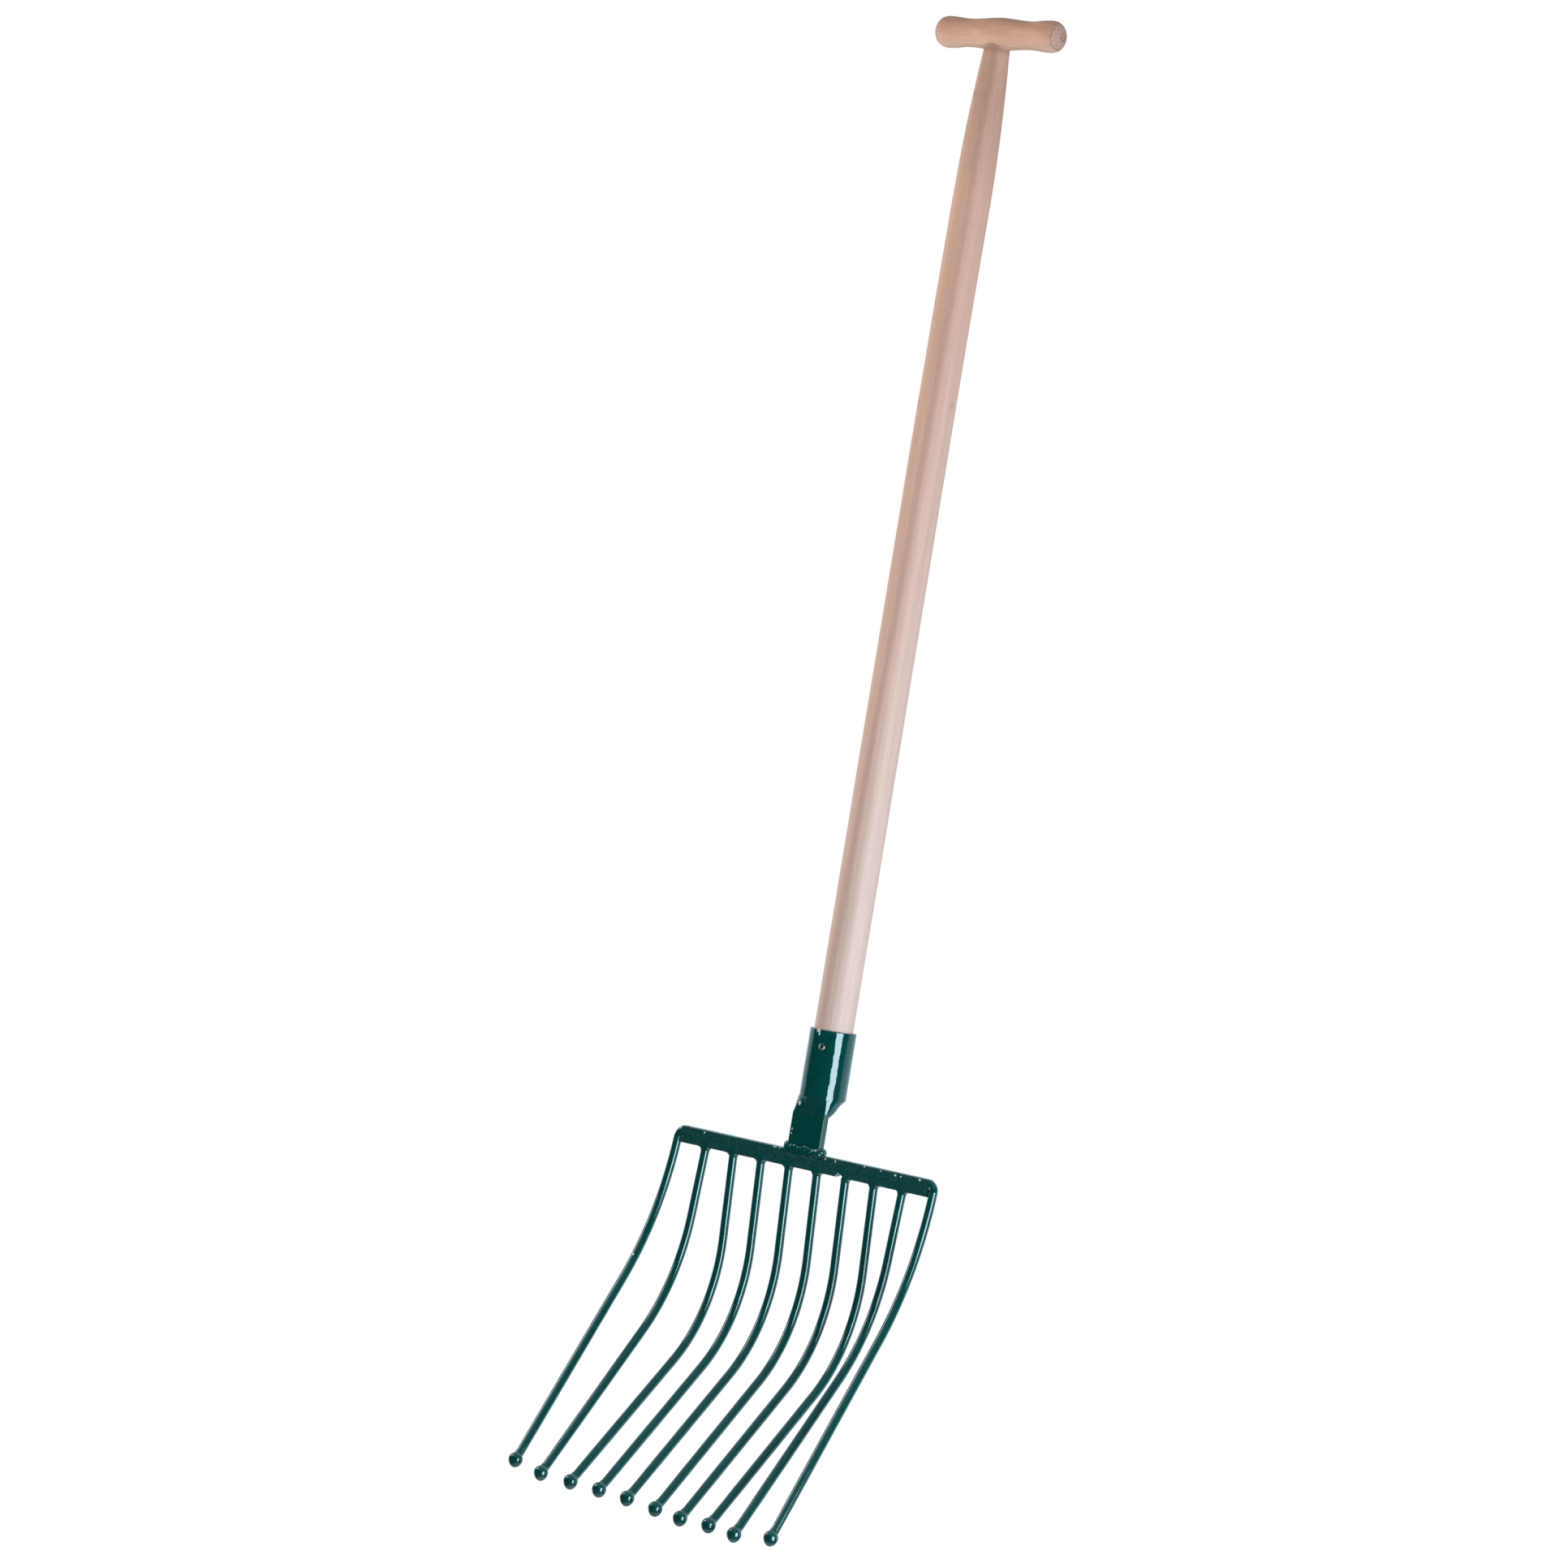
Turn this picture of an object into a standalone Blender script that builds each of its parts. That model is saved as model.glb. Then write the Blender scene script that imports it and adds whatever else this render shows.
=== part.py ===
"""A ten-tine ball-tipped pitchfork with a T-grip.

The fork stands upright: +Z runs up along the shaft, X runs across the tines and -Y is the
open side of the dish.  The origin is where the fork hangs, on the shaft's axis at the
underside of the T-grip.  All lengths are in metres.
"""

import math

import bmesh
import bpy
from mathutils import Matrix, Vector

# Driving dimensions of the wooden handle
SHAFT_DIAMETER = 0.041
SHAFT_TOP_DIAMETER = 0.040
SHAFT_END_DIAMETER = 0.027
TOP_TAPER_LENGTH = 0.168
TENON_LENGTH = 0.025
SHAFT_FOOT_CHAMFER = 0.002
GRIP_LENGTH = 0.156
GRIP_OFF_MIDDLE = 0.0033
GRIP_MIDDLE_DIAMETER = 0.034
GRIP_WAIST_DIAMETER = 0.0295
GRIP_BULGE_DIAMETER = 0.033
GRIP_WAIST_PLACE = 0.47
GRIP_DOME_LENGTH = 0.016
GRIP_DOME_FULLNESS = 2.6
NAIL_DIAMETER = 0.0028
NAIL_HEAD_DIAMETER = 0.0056
NAIL_HEAD_THICKNESS = 0.0012
NAIL_HEAD_SINK = 0.0004
NAIL_LENGTH = 0.026
NAIL_POINT_LENGTH = 0.004

# Driving dimensions of the steel head
BAR_DROP = 1.170
BAR_FORWARD = 0.0148
ROD_DIAMETER = 0.009
TINE_COUNT = 10
TINE_PITCH = 0.036
OUTER_PITCH = 0.0375
ROD_BEND_RADIUS = 0.0088
ARM_EDGE_RADIUS = 0.0016
SOCKET_LENGTH = 0.0708
SOCKET_WALL = 0.0038
RIM_EDGE = 0.0006
PRESSED_LENGTH = 0.019
NECK_LENGTH = 0.0381
NECK_WIDTH = 0.0407
NECK_OFF_MIDDLE = 0.0012
NECK_THICKNESS = 0.0088
NECK_EDGE_RADIUS = 0.0018
NECK_SEAM_OPENING = 0.0012
NECK_SEAM_ROUNDING = 0.0004
BALL_DIAMETER = 0.015
BALL_DRIP = 0.0022
RIVET_DIAMETER = 0.005
RIVET_HEAD_DIAMETER = 0.0076
RIVET_HEAD_HEIGHT = 0.0013
RIVET_HEAD_EDGE = 0.0004
RIVET_CROWN_DIAMETER = 0.0061
RIVET_CROWN_DROP = 0.0003
RIVET_DIMPLE_DIAMETER = 0.0036
RIVET_DIMPLE_FLOOR_DIAMETER = 0.0025
RIVET_DIMPLE_DEPTH = 0.0007
RIVET_BELOW_RIM = 0.0178
RIVET_TURN = math.radians(11.0)
WELD_SIDE = 0.0045
WELD_PROUD = 0.0026
WELD_RISE = 0.0045
WELD_LAP = 0.006
WELD_ROUNDING = 0.0022
CORNER_WELD_SINK = 0.0003

# Driving dimensions of the tines.  A lean is measured from straight down, towards -Y, where
# the tine leaves the bar and below its long bend.  The drop runs from the bar's middle to
# the ball's middle.  The outer tines bend all the way and have no straight length.
OUTER_LEAN = math.radians(5.8)
OUTER_BEND_RADIUS = 0.324
OUTER_TIP_LEAN = math.radians(34.8)
OUTER_DROP = 0.348
SECOND_LEAN = math.radians(4.7)
SECOND_STRAIGHT_LENGTH = 0.067
SECOND_BEND_RADIUS = 0.209
SECOND_TIP_LEAN = math.radians(42.5)
SECOND_DROP = 0.353
INNER_LEAN = math.radians(-4.2)
INNER_STRAIGHT_LENGTH = 0.087
INNER_BEND_RADIUS = 0.155
INNER_TIP_LEAN = math.radians(49.0)
INNER_DROP = 0.354
# The rods were cut and bent by hand.  Each tip strays towards +X and ends lower than its
# drop by so many times this length.
TIP_UNEVENNESS = 0.0005
TIP_STRAYS = (-1, 2, -2, 0, 1, 5, 0, -3, -1, 2)
TIP_DROPS = (-4, -4, -3, -3, -2, 2, 6, 4, 7, 7)

# Clearances between touching pieces
SEAT_GAP = 0.0003

# Fineness of the round surfaces
SHAFT_SIDES = 32
GRIP_SIDES = 28
SOCKET_SIDES = 32
BALL_SIDES = 12
RIVET_SIDES = 16
NAIL_SIDES = 10
BEND_STEPS = 5
LONG_BEND_STEPS = 7
TAPER_STEPS = 6
GRIP_STEPS = 9
DOME_STEPS = 4
PRESSED_STEPS = 5

# Derived places and sizes
ROD_RADIUS = ROD_DIAMETER / 2
ROW_OFFSET = ROD_RADIUS + SEAT_GAP / 2
BAR_HALF_HEIGHT = ROW_OFFSET + ROD_RADIUS
BAR_Z = -BAR_DROP
BAR_Y = -BAR_FORWARD
NECK_FOOT_Z = BAR_Z + BAR_HALF_HEIGHT + SEAT_GAP
PRESSED_FOOT_Z = NECK_FOOT_Z + NECK_LENGTH
SOCKET_SEAT_Z = PRESSED_FOOT_Z + PRESSED_LENGTH
RIM_Z = SOCKET_SEAT_Z + SOCKET_LENGTH
BORE_RADIUS = SHAFT_DIAMETER / 2 + SEAT_GAP
SOCKET_RADIUS = BORE_RADIUS + SOCKET_WALL
GRIP_RADIUS = GRIP_MIDDLE_DIAMETER / 2
GRIP_Z = GRIP_RADIUS
RIVET_Z = RIM_Z - RIVET_BELOW_RIM
RIVET_DIRECTION = Vector((math.sin(RIVET_TURN), -math.cos(RIVET_TURN), 0.0))
BALL_RADIUS = BALL_DIAMETER / 2
BALL_SEAT = math.sqrt(BALL_RADIUS ** 2 - ROD_RADIUS ** 2)
NAIL_Z = TENON_LENGTH / 2
NAIL_HEAD_Y = math.sqrt(GRIP_RADIUS ** 2 - (GRIP_Z - NAIL_Z) ** 2) - NAIL_HEAD_SINK
# A rod's path starts with its arm's two ends and its corner's points
CORNER_POINTS = BEND_STEPS + 2


def clear_scene():
    """Remove every object that the file opened with."""
    for old in list(bpy.data.objects):
        bpy.data.objects.remove(old, do_unlink=True)


def new_collection(name):
    """Return a new collection under the scene's own."""
    collection = bpy.data.collections.new(name)
    bpy.context.scene.collection.children.link(collection)
    return collection


clear_scene()
PARTS = new_collection("pitchfork")
CUTTERS = new_collection("cutters")


def srgb(red, green, blue):
    """Turn an 8-bit display colour into linear values with alpha."""
    linear = []
    for channel in (red, green, blue):
        share = channel / 255
        linear.append(share / 12.92 if share <= 0.04045 else ((share + 0.055) / 1.055) ** 2.4)
    return (*linear, 1.0)


def finish(name, colour, roughness, metallic):
    """Return a Principled material of one colour."""
    material = bpy.data.materials.new(name)
    material.use_nodes = True
    shader = material.node_tree.nodes["Principled BSDF"]
    shader.inputs["Base Color"].default_value = colour
    shader.inputs["Roughness"].default_value = roughness
    shader.inputs["Metallic"].default_value = metallic
    material.diffuse_color = colour
    return material


SHAFT_BEECH = (srgb(212, 180, 158), 0.6, 0.0)
GRIP_BEECH = (srgb(204, 165, 140), 0.55, 0.0)
GREEN_ENAMEL = (srgb(10, 66, 58), 0.18, 0.0)
BRIGHT_STEEL = (srgb(190, 188, 184), 0.35, 1.0)


def add_part(name, mesh, look):
    """Put a mesh in the parts collection under its own name and material."""
    part = bpy.data.objects.new(name, mesh)
    PARTS.objects.link(part)
    mesh.materials.clear()
    mesh.materials.append(finish(name + "_finish", *look))
    return part


def add_cutter(name, mesh):
    """Put a mesh among the cutters, which only remove material."""
    cutter = bpy.data.objects.new(name, mesh)
    CUTTERS.objects.link(cutter)
    cutter.hide_render = True
    cutter.display_type = 'WIRE'
    return cutter


def cut(part, cutter):
    """Take the cutter's shape out of the part."""
    boolean = part.modifiers.new("cut_" + cutter.name, 'BOOLEAN')
    boolean.operation = 'DIFFERENCE'
    boolean.solver = 'EXACT'
    boolean.object = cutter
    return boolean


def smooth(mesh, angle=40.0):
    """Shade the mesh smooth, with sharp edges where it turns by more than the angle."""
    mesh.shade_smooth()
    mesh.set_sharp_from_angle(angle=math.radians(angle))
    return mesh


def turned(name, profile, sides, look=None):
    """Turn a profile of (radius, height) points, from top to bottom, about Z."""
    mesh = bpy.data.meshes.new(name)
    points = [(radius, 0.0, height) for radius, height in profile]
    edges = [(index, index + 1) for index in range(len(points) - 1)]
    mesh.from_pydata(points, edges, [])
    part = add_part(name, mesh, look) if look else add_cutter(name, mesh)
    screw = part.modifiers.new("turning", 'SCREW')
    screw.steps = sides
    screw.render_steps = sides
    screw.use_merge_vertices = True
    screw.merge_threshold = 0.00001
    screw.use_smooth_shade = True
    return part


def drill(name, radius, length, location, direction, sides=16):
    """Return a round cutter that starts at a place and runs along a direction."""
    mesh = bpy.data.meshes.new(name)
    form = bmesh.new()
    bmesh.ops.create_cone(form, cap_ends=True, segments=sides, radius1=radius, radius2=radius,
                          depth=length, matrix=Matrix.Translation((0.0, 0.0, length / 2)))
    form.to_mesh(mesh)
    form.free()
    cutter = add_cutter(name, mesh)
    cutter.location = location
    cutter.rotation_euler = Vector(direction).to_track_quat('Z', 'Y').to_euler()
    return cutter


def block(name, low, high, rounding=0.0, look=None):
    """Return a box between two corners, with rounded edges if a rounding is given."""
    mesh = bpy.data.meshes.new(name)
    form = bmesh.new()
    bmesh.ops.create_cube(form, size=1.0)
    size = Vector(high) - Vector(low)
    bmesh.ops.scale(form, vec=size, verts=form.verts)
    form.to_mesh(mesh)
    form.free()
    part = add_part(name, mesh, look) if look else add_cutter(name, mesh)
    part.location = (Vector(low) + Vector(high)) / 2
    if rounding:
        bevel = part.modifiers.new("rounding", 'BEVEL')
        bevel.width = rounding
        bevel.segments = 2
    return part


def loft(name, rings, look=None):
    """Skin closed rings of equal point counts, with a flat cap at each end."""
    mesh = bpy.data.meshes.new(name)
    form = bmesh.new()
    layers = [[form.verts.new(point) for point in ring] for ring in rings]
    count = len(layers[0])
    for upper, lower in zip(layers, layers[1:]):
        for index in range(count):
            after = (index + 1) % count
            form.faces.new((upper[index], lower[index], lower[after], upper[after]))
    form.faces.new(layers[0])
    form.faces.new(list(reversed(layers[-1])))
    bmesh.ops.recalc_face_normals(form, faces=form.faces)
    form.to_mesh(mesh)
    form.free()
    return add_part(name, smooth(mesh), look) if look else add_cutter(name, mesh)


# The wooden handle

def shaft_radius(below_grip):
    """Radius of the shaft at a distance under the grip: a parabola near the top, and then
    a slight even taper down to the socket."""
    if below_grip < TOP_TAPER_LENGTH:
        share = 1 - below_grip / TOP_TAPER_LENGTH
        return (SHAFT_TOP_DIAMETER - (SHAFT_TOP_DIAMETER - SHAFT_END_DIAMETER) * share ** 2) / 2
    length = -RIM_Z - TOP_TAPER_LENGTH
    share = min((below_grip - TOP_TAPER_LENGTH) / length, 1.0)
    return (SHAFT_TOP_DIAMETER + (SHAFT_DIAMETER - SHAFT_TOP_DIAMETER) * share) / 2


def make_shaft():
    """The turned shaft, from its tenon in the grip down to its seat in the socket."""
    end_radius = SHAFT_END_DIAMETER / 2
    foot_z = SOCKET_SEAT_Z + SEAT_GAP
    foot_radius = SHAFT_DIAMETER / 2
    profile = [(0.0, TENON_LENGTH), (end_radius - SHAFT_FOOT_CHAMFER / 2, TENON_LENGTH),
               (end_radius, TENON_LENGTH - SHAFT_FOOT_CHAMFER / 2)]
    for step in range(TAPER_STEPS + 1):
        depth = TOP_TAPER_LENGTH * step / TAPER_STEPS
        profile.append((shaft_radius(depth), -depth))
    profile += [(foot_radius, RIM_Z), (foot_radius, foot_z + SHAFT_FOOT_CHAMFER),
                (foot_radius - SHAFT_FOOT_CHAMFER, foot_z), (0.0, foot_z)]
    shaft = turned("handle_shaft", profile, SHAFT_SIDES, SHAFT_BEECH)
    cut(shaft, RIVET_HOLE)
    cut(shaft, NAIL_HOLE)
    return shaft


def grip_radius(share):
    """Radius of the grip at a share of its half length, up to the dome: a swell in the
    middle, a waist and a bulge, joined by cosine waves."""
    dome_share = 1 - GRIP_DOME_LENGTH / (GRIP_LENGTH / 2)
    waist, bulge = GRIP_WAIST_DIAMETER / 2, GRIP_BULGE_DIAMETER / 2
    if share <= GRIP_WAIST_PLACE:
        wave = (1 - math.cos(math.pi * share / GRIP_WAIST_PLACE)) / 2
        return GRIP_RADIUS + (waist - GRIP_RADIUS) * wave
    past_waist = (share - GRIP_WAIST_PLACE) / (dome_share - GRIP_WAIST_PLACE)
    wave = (1 - math.cos(math.pi * past_waist)) / 2
    return waist + (bulge - waist) * wave


def make_grip():
    """The turned T-grip with its rounded ends, bored from below for the shaft's tenon."""
    half = GRIP_LENGTH / 2
    dome_share = 1 - GRIP_DOME_LENGTH / half
    shares = [dome_share * step / GRIP_STEPS for step in range(GRIP_STEPS + 1)]
    right = [(grip_radius(share), half * share) for share in shares]
    for step in range(1, DOME_STEPS):
        angle = math.pi / 2 * step / DOME_STEPS
        past = math.sin(angle) ** (2 / GRIP_DOME_FULLNESS)
        right.append((GRIP_BULGE_DIAMETER / 2 * math.cos(angle),
                      half - GRIP_DOME_LENGTH * (1 - past)))
    left = [(radius, -height) for radius, height in right[1:]]
    profile = [(0.0, half)] + right[::-1] + left + [(0.0, -half)]
    grip = turned("grip_bar", profile, GRIP_SIDES, GRIP_BEECH)
    grip.location = (GRIP_OFF_MIDDLE, 0.0, GRIP_Z)
    grip.rotation_euler = (0.0, math.radians(90.0), 0.0)
    mortise = drill("mortise_drill", SHAFT_END_DIAMETER / 2 + SEAT_GAP,
                    GRIP_RADIUS + TENON_LENGTH + SEAT_GAP, (0.0, 0.0, -GRIP_RADIUS),
                    (0.0, 0.0, 1.0), SHAFT_SIDES)
    cut(grip, mortise)
    cut(grip, NAIL_HOLE)
    cut(grip, NAIL_HEAD_HOLE)
    return grip


def make_nail():
    """The steel nail that pins the tenon, driven into the grip from behind."""
    radius, head = NAIL_DIAMETER / 2, NAIL_HEAD_DIAMETER / 2
    profile = [(0.0, 0.0), (head, 0.0), (head, -NAIL_HEAD_THICKNESS), (radius, -NAIL_HEAD_THICKNESS),
               (radius, NAIL_POINT_LENGTH - NAIL_LENGTH), (0.0, -NAIL_LENGTH)]
    nail = turned("grip_nail", profile, NAIL_SIDES, BRIGHT_STEEL)
    nail.location = (0.0, NAIL_HEAD_Y, NAIL_Z)
    nail.rotation_euler = (math.radians(-90.0), 0.0, 0.0)
    return nail


# The socket, pressed flat below into a neck

SIDE_ANGLES = [2 * math.pi * (side + 0.5) / SOCKET_SIDES for side in range(SOCKET_SIDES)]


def round_ring(radius, z):
    """A ring on a circle about the shaft's axis, counted from +X towards +Y."""
    return [Vector((radius * math.cos(angle), radius * math.sin(angle), z))
            for angle in SIDE_ANGLES]


def flat_ring(width, thickness, edge, z):
    """A ring on a rounded rectangle in the bar's middle plane, a little to -X of the shaft,
    with one quarter of its points on each corner."""
    ring = []
    for angle in SIDE_ANGLES:
        sign_x = 1 if math.cos(angle) > 0 else -1
        sign_y = 1 if math.sin(angle) > 0 else -1
        ring.append(Vector((sign_x * (width / 2 - edge) + edge * math.cos(angle) - NECK_OFF_MIDDLE,
                            sign_y * (thickness / 2 - edge) + edge * math.sin(angle) + BAR_Y,
                            z)))
    return ring


def pressed_rings(radius, width, thickness, edge):
    """Rings from the round tube's foot down to the top of the flat neck, which turn evenly
    from one outline into the other."""
    rings = []
    for step in range(PRESSED_STEPS + 1):
        share = step / PRESSED_STEPS
        z = SOCKET_SEAT_Z - PRESSED_LENGTH * share
        rings.append([tube.lerp(neck, share) for tube, neck in
                      zip(round_ring(radius, z), flat_ring(width, thickness, edge, z))])
    return rings


def make_socket():
    """The tube round the shaft's foot: pressed flat below its seat, and the flat neck runs
    down to the bar.  Its hollow narrows to the seam between the two pressed layers."""
    outside = pressed_rings(SOCKET_RADIUS, NECK_WIDTH, NECK_THICKNESS, NECK_EDGE_RADIUS)
    inside = pressed_rings(BORE_RADIUS, NECK_WIDTH - 2 * SOCKET_WALL, NECK_SEAM_OPENING,
                           NECK_SEAM_ROUNDING)
    rings = [flat_ring(NECK_WIDTH, NECK_THICKNESS, NECK_EDGE_RADIUS, NECK_FOOT_Z)]
    rings += outside[::-1]
    rings += [round_ring(SOCKET_RADIUS, RIM_Z - RIM_EDGE),
              round_ring(SOCKET_RADIUS - RIM_EDGE, RIM_Z),
              round_ring(BORE_RADIUS + RIM_EDGE, RIM_Z),
              round_ring(BORE_RADIUS, RIM_Z - RIM_EDGE)]
    rings += inside
    socket = loft("socket", rings, GREEN_ENAMEL)
    cut(socket, RIVET_HOLE)
    return socket


def make_rivet():
    """The rivet through the socket and the shaft, with a dimpled head at each side."""
    reach = SOCKET_RADIUS + SEAT_GAP
    crown = reach + RIVET_HEAD_HEIGHT
    top = [(0.0, crown - RIVET_DIMPLE_DEPTH),
           (RIVET_DIMPLE_FLOOR_DIAMETER / 2, crown - RIVET_DIMPLE_DEPTH),
           (RIVET_DIMPLE_DIAMETER / 2, crown),
           (RIVET_CROWN_DIAMETER / 2, crown - RIVET_CROWN_DROP),
           (RIVET_HEAD_DIAMETER / 2, reach + RIVET_HEAD_EDGE),
           (RIVET_HEAD_DIAMETER / 2, reach),
           (RIVET_DIAMETER / 2, reach)]
    profile = top + [(radius, -height) for radius, height in reversed(top)]
    rivet = turned("socket_rivet", profile, RIVET_SIDES, BRIGHT_STEEL)
    rivet.location = (0.0, 0.0, RIVET_Z)
    rivet.rotation_euler = RIVET_DIRECTION.to_track_quat('Z', 'Y').to_euler()
    return rivet


def make_weld():
    """The bead that joins the neck's foot to the bar, laid all round the foot."""
    left = -NECK_WIDTH / 2 - NECK_OFF_MIDDLE
    right = NECK_WIDTH / 2 - NECK_OFF_MIDDLE
    half_depth = max(NECK_THICKNESS, ROD_DIAMETER) / 2
    bar_top = BAR_Z + BAR_HALF_HEIGHT
    weld = block("neck_weld",
                 (left - WELD_SIDE, BAR_Y - half_depth - WELD_PROUD, bar_top - WELD_LAP),
                 (right + WELD_SIDE, BAR_Y + half_depth + WELD_PROUD, bar_top + WELD_RISE),
                 WELD_ROUNDING, GREEN_ENAMEL)
    neck_space = block("neck_space",
                       (left - SEAT_GAP, BAR_Y - half_depth - SEAT_GAP, bar_top - WELD_LAP),
                       (right + SEAT_GAP, BAR_Y + half_depth + SEAT_GAP,
                        bar_top + 2 * WELD_RISE))
    bar_space = block("bar_space",
                      (left - 2 * WELD_SIDE, BAR_Y - half_depth - SEAT_GAP,
                       bar_top - 2 * WELD_LAP),
                      (right + 2 * WELD_SIDE, BAR_Y + half_depth + SEAT_GAP,
                       bar_top + SEAT_GAP))
    cut(weld, neck_space)
    cut(weld, bar_space)
    return weld


# The bent rods: each is a tine with an arm that lies in the bar

def tine_place(number):
    """Distance of a tine from the fork's middle plane, counting tines from -X."""
    if number in (1, TINE_COUNT):
        side = -1 if number == 1 else 1
        return side * ((TINE_COUNT - 3) / 2 * TINE_PITCH + OUTER_PITCH)
    return (number - (TINE_COUNT + 1) / 2) * TINE_PITCH


def tine_kind(number):
    """The lean, straight length, bend radius, tip lean and drop of a tine: of the outer
    pair, of the second pair or of one of the inner ones."""
    from_edge = min(number, TINE_COUNT + 1 - number)
    if from_edge == 1:
        return OUTER_LEAN, 0.0, OUTER_BEND_RADIUS, OUTER_TIP_LEAN, OUTER_DROP
    if from_edge == 2:
        return (SECOND_LEAN, SECOND_STRAIGHT_LENGTH, SECOND_BEND_RADIUS, SECOND_TIP_LEAN,
                SECOND_DROP)
    return INNER_LEAN, INNER_STRAIGHT_LENGTH, INNER_BEND_RADIUS, INNER_TIP_LEAN, INNER_DROP


def arc(start, direction, axis, radius, turn, steps):
    """Points and directions along an arc that leaves a place in a direction and turns about
    an axis square to that direction."""
    centre = start + axis.cross(direction) * radius
    places = []
    for step in range(1, steps + 1):
        swing = Matrix.Rotation(turn * step / steps, 3, axis)
        places.append((centre + swing @ (start - centre), swing @ direction))
    return places


def tine_path(number):
    """Points and directions of a rod's centre line, from the end of its arm to its tip, and
    the place of its ball."""
    side = -1 if number <= TINE_COUNT // 2 else 1
    outer = number in (1, TINE_COUNT)
    lean, straight, long_radius, tip_lean, drop = tine_kind(number)
    drop += TIP_UNEVENNESS * hand_made(TIP_DROPS, number)
    row_z = ROW_OFFSET if outer else -ROW_OFFSET
    inward = -side if outer else side
    if outer:
        arm_end = -tine_place(number) - inward * SEAT_GAP / 2
    else:
        beside = tine_place(number + inward) - tine_place(number)
        arm_end = beside - inward * (ROD_RADIUS + SEAT_GAP)
    along = Vector((-inward, 0.0, 0.0))
    down = Vector((0.0, -math.sin(lean), -math.cos(lean)))
    start = Vector((arm_end, 0.0, row_z))
    bend_start = Vector((inward * ROD_BEND_RADIUS, 0.0, row_z))
    path = [(start, along), (bend_start, along)]
    path += arc(bend_start, along, along.cross(down), ROD_BEND_RADIUS, math.pi / 2, BEND_STEPS)
    if straight:
        place, direction = path[-1]
        path.append((place + direction * straight, direction))
    path += arc(*path[-1], Vector((-1.0, 0.0, 0.0)), long_radius, tip_lean - lean,
                LONG_BEND_STEPS)
    place, direction = path[-1]
    ball_length = (place.z + drop) / -direction.z
    path.append((place + direction * (ball_length - BALL_SEAT - SEAT_GAP), direction))
    return path, place + direction * ball_length


def hand_made(amounts, number):
    """A tine's own amount of unevenness, which repeats past the last tine listed."""
    return amounts[(number - 1) % len(amounts)]


def stray(point, number, drop):
    """Shift a point to the side by the tip's stray, more the further it is below the bar."""
    share = min(max(-point.z / drop, 0.0), 1.0)
    return point + Vector((TIP_UNEVENNESS * hand_made(TIP_STRAYS, number) * share, 0.0, 0.0))


def rod_ring(place, direction, front, flatness, growth=0.0):
    """A twelve-sided ring round the rod: round at flatness 0, and at 1 a square with the
    rod's width and rounded corners.  Growth moves it outwards."""
    across = direction.cross(front)
    ring = []
    radius = ROD_RADIUS + growth
    near = radius - ARM_EDGE_RADIUS
    for corner in range(4):
        for spread in (-1, 0, 1):
            round_angle = math.pi / 4 + corner * math.pi / 2 + spread * math.pi / 6
            edge_angle = math.pi / 4 + corner * math.pi / 2 + spread * math.pi / 4
            sign_u = 1 if corner in (0, 3) else -1
            sign_v = 1 if corner in (0, 1) else -1
            square_u = sign_u * near + ARM_EDGE_RADIUS * math.cos(edge_angle)
            square_v = sign_v * near + ARM_EDGE_RADIUS * math.sin(edge_angle)
            u = radius * math.cos(round_angle) * (1 - flatness) + square_u * flatness
            v = radius * math.sin(round_angle) * (1 - flatness) + square_v * flatness
            ring.append(place + front * u + across * v)
    return ring


def rod_rings(number, path, growth=0.0):
    """Rings along a rod's path: square in the arm, and rounder through the corner."""
    drop = tine_kind(number)[-1]
    rings = []
    front = Vector((0.0, -1.0, 0.0))
    for index, (place, direction) in enumerate(path):
        front = (front - direction * front.dot(direction)).normalized()
        flatness = min(max(1 - (index - 1) / BEND_STEPS, 0.0), 1.0)
        rings.append(rod_ring(stray(place, number, drop), direction, front, flatness, growth))
    return rings


def make_tine(number):
    """One rod: its flattened arm in the bar, the corner, the tine and its ball."""
    path, ball_place = tine_path(number)
    drop = tine_kind(number)[-1]
    tine = loft(f"tine_{number:02d}", rod_rings(number, path), GREEN_ENAMEL)
    tine.location = (tine_place(number), BAR_Y, BAR_Z)
    if number in (2, TINE_COUNT - 1):
        cut(tine, corner_space(1 if number == 2 else TINE_COUNT))
    ball = make_ball(number)
    ball.location = tine.location + stray(ball_place, number, drop)
    ball.rotation_euler = (-tine_kind(number)[3], 0.0, 0.0)
    return tine


def corner_space(number):
    """The room that a rod's arm and corner take from what lies beside them."""
    path = tine_path(number)[0][:CORNER_POINTS]
    space = loft(f"corner_space_{number:02d}", rod_rings(number, path, SEAT_GAP))
    space.location = (tine_place(number), BAR_Y, BAR_Z)
    return space


def make_ball(number):
    """The ball on a tine's tip, with a flat seat for the rod and a slight drip below."""
    seat_angle = math.asin(ROD_RADIUS / BALL_RADIUS)
    profile = [(0.0, BALL_SEAT)]
    steps = BALL_SIDES // 2
    for step in range(steps + 1):
        angle = seat_angle + (math.pi - seat_angle) * step / steps
        drip = BALL_DRIP * max(-math.cos(angle), 0.0) ** 3
        profile.append((BALL_RADIUS * math.sin(angle), BALL_RADIUS * math.cos(angle) - drip))
    profile[-1] = (0.0, profile[-1][1])
    return turned(f"tip_ball_{number:02d}", profile, BALL_SIDES, GREEN_ENAMEL)


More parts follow.
